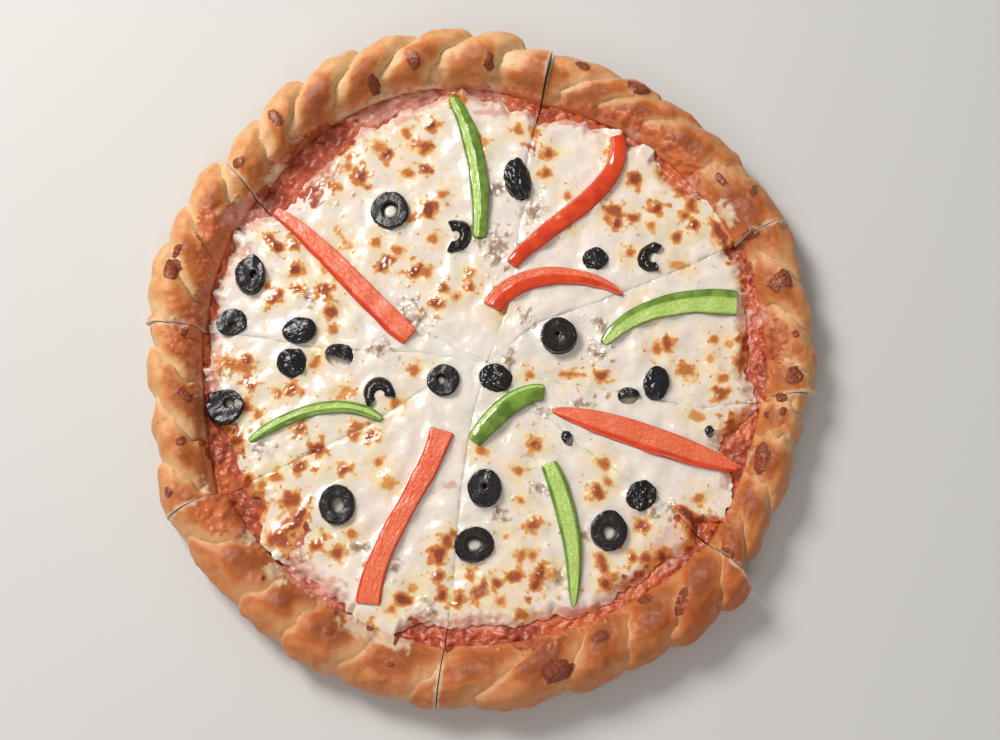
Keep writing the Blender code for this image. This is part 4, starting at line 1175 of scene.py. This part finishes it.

# %% [markdown]
# Baked dough is pale and floury in its creases and low down, tan where it swells,
# and brown in long patches on the upper, inner side of each lobe. Those patches
# follow the twist, so the material reads the lobe coordinates painted above, and
# noise makes every lobe differ. The rim is darker all round except at the top and
# left, and most at the lower right: painted shade for the side away from the big
# lamp, and partly a deeper bake.

# %% Browning and painted shade of the dough
def window_of(value, rise, fall):
    """A value's window: it opens between the first two numbers and closes between the last."""
    opened = ease(value, *rise)
    return times(opened, rest_of(ease(value, *fall)))


dough_finish = new_finish(
    "baked_dough", Subsurface_Weight=0.08, Subsurface_Scale=0.003, Specular_IOR_Level=0.4)
mottle, fleck, broad = grain(3.2, 4.0, 0.6), grain(0.6, 4.0, 0.65), grain(9.0, 2.0)
up_the_side = window_of(painted("turn"), (0.02, 0.2), (0.36, 0.52))
patch = times(up_the_side, window_of(painted("lobe"), (0.06, 0.36), (0.55, 0.92)))
heat = times(patch, painted("brown"))
for value, weight in ((mottle, 0.85), (broad, 0.7), (fleck, 0.3)):
    heat = plus(heat, times(centred(value), weight))
heat = plus(heat, times(painted("baked"), 0.16))
heat = plus(heat, 0.10, clamp=True)
crust = ramp(heat, (0.0, (0.77, 0.43, 0.19)), (0.2, (0.74, 0.335, 0.115)), (0.36, (0.66, 0.24, 0.066)),
             (0.5, (0.56, 0.168, 0.036)), (0.7, (0.45, 0.12, 0.025)), (0.98, (0.32, 0.074, 0.018)))
pale = times(rest_of(ease(painted("puff"), 0.25, 0.85)), 0.8)
floury = blend_colour(pale, crust, (0.86, 0.60, 0.33))
# Painted shade and a deeper bake: the crust is multiplied darker by bearing, less where it is already brown.
bake_and_shade_weight = times(rest_of(ease(heat, 0.4, 0.85)), painted("baked"))
shaded = blend_colour(bake_and_shade_weight, floury, (0.74, 0.45, 0.29), "MULTIPLY")
low_down = rest_of(ease(painted("turn"), 0.06, 0.3))
blush = times(low_down, ease(mottle, 0.3, 0.6))
shaded = blend_colour(times(blush, 0.7), shaded, (0.62, 0.20, 0.065))
print("browned crust of", len(tree.nodes), "nodes")

# %% Sauce, cream and burnt drops on the dough
red = ramp(plus(times(mottle, 0.7), times(fleck, 0.3)),
           (0.3, (0.30, 0.045, 0.018)), (0.45, (0.54, 0.12, 0.045)),
           (0.6, (0.70, 0.25, 0.11)), (0.75, (0.76, 0.42, 0.25)))
edges = times(centred(mottle), painted("stain"))
smeared = ease(plus(painted("stain"), edges), 0.15, 0.8)
sauced = blend_colour(times(smeared, 0.9), shaded, sauce_colour(red))
creamed = blend_colour(times(ease(painted("cream"), 0.0, 1.0), 0.75), sauced, (0.86, 0.68, 0.48))
crumbly_ends = blend_colour(times(painted("torn"), 0.5), creamed, (0.84, 0.70, 0.50))
glazed = blend_colour(ease(fleck, 0.3, 0.7), (0.20, 0.040, 0.015), (0.36, 0.085, 0.027))
drops = blend_colour(ease(painted("burnt"), 0.4, 1.0), (0.20, 0.044, 0.017), glazed)
skin = blend_colour(ease(painted("burnt"), 0.25, 0.5), crumbly_ends, drops)
feed("Base Color", skin)
oil = calc("MAXIMUM", calc("MAXIMUM", painted("stain"), painted("burnt")), painted("cream"))
feed("Roughness", calc("SUBTRACT", 0.4, times(oil, 0.18)))
bump(plus(grain(0.5, 5.0, 0.7), times(mottle, 0.8)), 0.2)
print("dough finish of", len(tree.nodes), "nodes")

# %% Crumb finish
crumb_finish = new_finish("dough_crumb", Roughness=0.85, Subsurface_Weight=0.1, Subsurface_Scale=0.003)
crumb_tone = ramp(grain(1.2, 4.0, 0.7), (0.3, (0.62, 0.46, 0.28)), (0.6, (0.86, 0.76, 0.56)))
feed("Base Color", crumb_tone)
bump(grain(1.0, 5.0, 0.7), 1.2)
print("crumb finish of", len(tree.nodes), "nodes")

# %% The eight slices of dough
dough = []
for plan in plans:
    piece = dough_piece(plan)
    piece.data.materials.append(dough_finish)
    close_walls(piece, crumb_finish)
    dough.append(finish(piece, None, "baked_dough", f"dough_slice_{plan.number}", angle=70.0))
print("dough points", sum(len(piece.data.vertices) for piece in dough))

# %% [markdown]
# ## Black olives
# The rings are slices from the middle of a stoned olive: glossy black skin round the
# outside, a duller, slightly bumpy cut face and a hole. The caps are the ends, the
# crescents are rings that broke, and the halves are broken caps. A ring starts
# as a cylinder whose two faces are inset and bridged, a cap as a cylinder whose
# top is inset and raised in steps, and a crescent as a disc that is spun part of the
# way round. A bevel and subdivision round them off, and torn ones are roughened.

# %% A blank for rings and caps
SIDES = 24


def select_flat(piece, upward):
    """Select the flat faces that look up, for 1, or down, for -1."""
    bpy.ops.object.mode_set(mode="OBJECT")
    for face in piece.data.polygons:
        face.select = face.normal.z * upward > 0.9
    bpy.ops.object.mode_set(mode="EDIT")


def olive_blank(name):
    """A short cylinder, two units across and one high, in edit mode, ready for shaping."""
    object_mode()
    bpy.ops.mesh.primitive_cylinder_add(vertices=SIDES, radius=1.0, depth=1.0, location=(0, 0, 0.5))
    piece = named(name)
    bpy.ops.object.transform_apply(location=True, rotation=False, scale=False)
    bpy.ops.object.mode_set(mode="EDIT")
    bpy.ops.mesh.select_mode(type="FACE")
    bpy.ops.mesh.select_all(action="DESELECT")
    return piece


print("a blank has", SIDES, "sides")


# %% Rings and caps
SKIN_BORDER = 0.14


def make_ring(name, hole):
    """Inset both faces and join them through the middle."""
    piece = olive_blank(name)
    for upward in (1, -1):
        select_flat(piece, upward)
        bpy.ops.mesh.inset(thickness=SKIN_BORDER)
        bpy.ops.mesh.inset(thickness=1.0 - SKIN_BORDER - hole)
    bpy.ops.object.mode_set(mode="OBJECT")
    for face in piece.data.polygons:
        face.select = len(face.vertices) == SIDES
    bpy.ops.object.mode_set(mode="EDIT")
    bpy.ops.mesh.bridge_edge_loops()
    return piece


DOME = ((0.16, 0.12), (0.32, 0.12), (0.3, 0.04))
CAP_TOP = 1.0 + sum(rise for _, rise in DOME)


def make_cap(name):
    """Raise the top in inset steps to a shallow dome."""
    piece = olive_blank(name)
    select_flat(piece, 1)
    for thickness, rise in DOME:
        bpy.ops.mesh.inset(thickness=thickness)
        bpy.ops.transform.translate(value=(0, 0, rise))
    bpy.ops.mesh.inset(thickness=0.1)
    select_flat(piece, -1)
    bpy.ops.mesh.inset(thickness=0.12)
    bpy.ops.mesh.inset(thickness=0.5)
    return piece


print("a cap stands", round(CAP_TOP, 2), "units high")

# %% Crescents and halves
LIMB, LIMB_WIDTH = (0.69, 0, 0.5), 0.78


def make_crescent(name, sweep):
    """Spin an upright disc part of the way round the olive's axis."""
    object_mode()
    bpy.ops.mesh.primitive_circle_add(
        vertices=12, radius=0.5, fill_type="NGON", location=LIMB, rotation=(math.radians(90.0), 0, 0))
    piece = named(name)
    bpy.ops.object.transform_apply(location=True, rotation=True, scale=True)
    bpy.ops.object.mode_set(mode="EDIT")
    bpy.ops.mesh.select_all(action="SELECT")
    bpy.ops.transform.resize(value=(LIMB_WIDTH, 1.0, 1.0), center_override=LIMB)
    bpy.ops.mesh.spin(steps=26, angle=-math.radians(sweep), center=(0, 0, 0), axis=(0, 0, 1))
    bpy.ops.mesh.select_all(action="SELECT")
    bpy.ops.mesh.remove_doubles(threshold=0.0001)
    face_outward()
    return piece


def cut_away(piece, place, away):
    """Cut off what lies on one side of a plane and close the cut."""
    bpy.ops.mesh.select_all(action="SELECT")
    bpy.ops.mesh.bisect(plane_co=place, plane_no=away, use_fill=True, clear_outer=True)


print("a crescent's limb is", LIMB_WIDTH, "units wide")


# %% One olive piece
def unevenness(spots, pitch, shift):
    """Noise at each point, with about this many lumps to a unit."""
    return np.array([noise.noise(Vector(spot) * pitch + shift) for spot in spots])


def make_olive(number, spec):
    """Model one olive piece and lay it in its bed."""
    form, place, size, height, turn, hole, aside, filled, torn = spec
    name = f"olive_piece_{number:02d}"
    if form == "ring":
        piece = make_ring(name, hole)
    elif form == "crescent":
        piece = make_crescent(name, hole)
    else:
        piece = make_cap(name)
    if form == "half":
        cut_away(piece, (0, -0.12, 0), (0.1, -1, 0))
    bpy.ops.object.mode_set(mode="OBJECT")
    rounding = piece.modifiers.new("rounding", "BEVEL")
    rounding.width = 0.09
    rounding.segments = 2
    rounding.limit_method = "ANGLE"
    rounding.angle_limit = math.radians(40.0)
    bpy.ops.object.modifier_apply(modifier="rounding")
    softening = piece.modifiers.new("softening", "SUBSURF")
    softening.levels = softening.render_levels = 2
    bpy.ops.object.modifier_apply(modifier="softening")
    spots = points_of(piece)
    from_axis = np.hypot(spots[:, 0], spots[:, 1])
    face = smooth(spots[:, 2], 0.75, 0.95) * (1.0 - smooth(from_axis, 0.78, 0.93))
    paint(piece, flesh=face if form == "ring" else 0.3 * face, across=from_axis)
    if form in ("cap", "half"):
        spots[:, 2] /= CAP_TOP
    if form == "ring":
        inner = 1.0 - smooth(from_axis, hole, 0.97)
        spots[:, 0] += aside[0] * inner
        spots[:, 1] += aside[1] * inner
    shift = Vector((number * 3.1, number * 1.7, 0))
    waves, chips, pits = (unevenness(spots, *kind) for kind in ((1.5, shift), (3.6, -shift), (8.0, shift)))
    outward = 1.0 + (0.07 + 0.12 * torn) * waves * from_axis + 0.06 * torn * chips
    spots[:, :2] *= outward[:, None]
    spots[:, 2] *= 1.0 + (0.06 + 0.22 * torn) * waves + 0.2 * torn * chips + (0.01 + 0.04 * torn) * pits
    spots[:, 2] += 0.08 * spots[:, 0] * math.sin(number * 1.9) + 0.06 * spots[:, 1] * math.cos(number * 2.3)
    low, high = spots[:, 2].min(), spots[:, 2].max()
    spots[:, 2] = (spots[:, 2] - low) / (high - low)
    x, y = spots[:, 0] * size[0] / 2.0, spots[:, 1] * size[1] / 2.0
    if form == "crescent":
        x, y = x - x.mean(), y - y.mean()
    x, y = turned(x, y, -turn)
    px, py = np.array(place) + SHIFT
    move_points(piece, px + x, py + y, OLIVE_BED + spots[:, 2] * height)
    return piece


print("the olives' beds lie at", OLIVE_BED, "mm")

# %% Olive finish
olive_finish = new_finish("black_olive")
fleshy = painted("flesh")
wrinkle = grain(0.8, 4.0, 0.6, 0.5)
skin_black = blend_colour(wrinkle, (0.003, 0.003, 0.004), (0.010, 0.009, 0.009))
ringed = times(calc("SINE", times(painted("across"), 24.0)), 0.07)
faced = plus(grain(0.4, 4.0, 0.65), ringed)
face_grey = blend_colour(ease(faced, 0.35, 0.8), (0.007, 0.006, 0.007), (0.050, 0.038, 0.035))
feed("Base Color", blend_colour(fleshy, skin_black, face_grey))
gloss = plus(times(fleshy, 0.12), times(wrinkle, 0.2))
feed("Roughness", plus(gloss, 0.02))
bump(plus(wrinkle, times(grain(0.25, 3.0), 0.4)), 0.16)
print("olive finish of", len(tree.nodes), "nodes")

# %% The olives
for number, spec in enumerate(OLIVES, start=1):
    finish(make_olive(number, spec), olive_finish, "black_olive", f"olive_{number:02d}")
print("olives", len(OLIVES))

# %% [markdown]
# ## Pepper strips
# A strip is a bent slat of pepper wall: waxy skin on one side, paler and rougher
# flesh on the other, and crisp cut edges. It starts as a cube as long, wide and high
# as the strip. Its edges are bevelled and it is cut into short lengths, and then its
# points are laid along the curve, because its width changes all the way along.

# %% A blank for a strip
LENGTHS, BREADTHS, LEVELS = 100, 20, 4


def cut_up(piece, axis, longer, cuts):
    """Cut all the edges that run along an axis into short lengths."""
    bpy.ops.object.mode_set(mode="OBJECT")
    spots = points_of(piece)
    for edge in piece.data.edges:
        way = np.abs(spots[edge.vertices[1]] - spots[edge.vertices[0]])
        edge.select = bool(way[axis] > longer)
    bpy.ops.object.mode_set(mode="EDIT")
    bpy.ops.mesh.subdivide(number_cuts=cuts)


def strip_blank(name, length, width, height):
    """A bevelled slat of even width, finely divided, with its middle at the origin."""
    object_mode()
    bpy.ops.mesh.primitive_cube_add(size=1.0, scale=(length, width, height))
    piece = named(name)
    bpy.ops.object.transform_apply(location=False, rotation=False, scale=True)
    bpy.ops.object.mode_set(mode="EDIT")
    bpy.ops.mesh.select_mode(type="EDGE")
    bpy.ops.mesh.select_all(action="SELECT")
    bpy.ops.mesh.bevel(offset=0.5, segments=3, affect="EDGES")
    bpy.ops.mesh.select_all(action="DESELECT")
    cut_up(piece, 0, length / 2.0, LENGTHS - 1)
    bpy.ops.mesh.select_all(action="DESELECT")
    cut_up(piece, 1, width / 2.0, BREADTHS - 1)
    bpy.ops.mesh.select_all(action="DESELECT")
    cut_up(piece, 2, height / 2.0, LEVELS - 1)
    bpy.ops.object.mode_set(mode="OBJECT")
    return piece


print("a strip is cut into", LENGTHS, "lengths")


# %% One strip
def make_strip(name, spec, number):
    """Model one pepper strip and lay it along its curve."""
    height, flesh_and_highlight_span = spec[2], spec[3]
    centre, ahead, half, gone = strip_line(spec)
    length, width = gone[-1], 2.0 * half.max()
    piece = strip_blank("strip_of_" + name, length, width, height)
    spots = points_of(piece)
    along, side, level = spots[:, 0] + length / 2.0, spots[:, 1] * 2.0 / width, spots[:, 2] / height + 0.5
    cx, cy = (np.interp(along, gone, centre[:, axis]) for axis in (0, 1))
    ax, ay = (np.interp(along, gone, ahead[:, axis]) for axis in (0, 1))
    wide = np.interp(along, gone, half)
    drift = along + number * 17.0
    edge_wave = 0.03 * read(wide_lumps, drift * 0.6, 10.0 * number + 30.0 * np.sign(side))
    across = side * wide * (0.98 + edge_wave)
    # Bare flesh, and on green_pepper_1 and green_pepper_3 a painted highlight band on the skin.
    flesh_and_highlight_band = smooth(side - flesh_and_highlight_span[0], -0.06, 0.06) * (1.0 - smooth(side - flesh_and_highlight_span[1], -0.06, 0.06))
    crown = 1.0 - 0.2 * side ** 2 * (1.0 - flesh_and_highlight_band) - 0.10 * flesh_and_highlight_band
    crown += 0.035 * read(wide_lumps, drift, side * 4.0 + 20.0 * number)
    crown += flesh_and_highlight_band * 0.012 * read(dimples, drift * 0.8, side * 7.0)
    crown += flesh_and_highlight_band * 0.005 * read(grit, drift * 1.3, side * 6.0)
    droop = 1.0 - 0.10 * np.exp(-np.minimum(along, length - along) / 4.0)
    low = np.minimum(1.0, 0.76 + 0.6 * wide / width)
    z = PEPPER_BED + height * low * droop * level * crown
    move_points(piece, cx - ay * across, cy + ax * across, z)
    paint(piece, flesh=flesh_and_highlight_band * smooth(level, 0.75, 0.95), rim=smooth(np.abs(side), 0.8, 0.97))
    bpy.ops.object.mode_set(mode="EDIT")
    face_outward()
    return piece


print("the strips' beds lie at", PEPPER_BED, "mm")


# %% Pepper finishes
def pepper_finish(name, deep, bright, flesh_and_highlight_dark, flesh_and_highlight_light):
    """Waxy skin and wet flesh in the tones of one pepper; its flesh tone also paints highlights."""
    made = new_finish(
        name, Subsurface_Weight=0.1, Subsurface_Scale=0.002, Coat_Weight=0.3, Coat_Roughness=0.1)
    streak = grain(3.0, 3.0)
    cells = grain(0.4, 4.0, 0.7)
    waxy = blend_colour(ease(streak, 0.3, 0.7), deep, bright)
    flesh_and_highlight_tone = blend_colour(ease(cells, 0.35, 0.65), flesh_and_highlight_dark, flesh_and_highlight_light)
    # The flesh tone is bare flesh, and on two green strips a painted highlight.
    tone = blend_colour(painted("flesh"), waxy, flesh_and_highlight_tone)
    edged = blend_colour(times(painted("rim"), 0.55), tone, deep)
    feed("Base Color", edged)
    rough = plus(times(painted("flesh"), 0.08), times(cells, 0.28))
    feed("Roughness", rough)
    grainy = plus(times(painted("flesh"), 0.9), 0.1)
    bump(times(cells, grainy), 0.22)
    return made


pepper_finishes = {
    "red_pepper": pepper_finish(
        "red_pepper", (0.60, 0.038, 0.008), (0.80, 0.075, 0.014), (0.80, 0.09, 0.03), (0.92, 0.235, 0.10)),
    "green_pepper": pepper_finish(
        "green_pepper", (0.10, 0.19, 0.02), (0.24, 0.39, 0.055), (0.37, 0.55, 0.09), (0.60, 0.77, 0.23)),
}
print("two pepper finishes of", len(tree.nodes), "nodes")

# %% The strips
for number, (name, spec) in enumerate(STRIPS.items()):
    slot = name.rsplit("_", 1)[0]
    finish(make_strip(name, spec, number), pepper_finishes[slot], slot, name, angle=50.0)
print("strips", len(STRIPS))
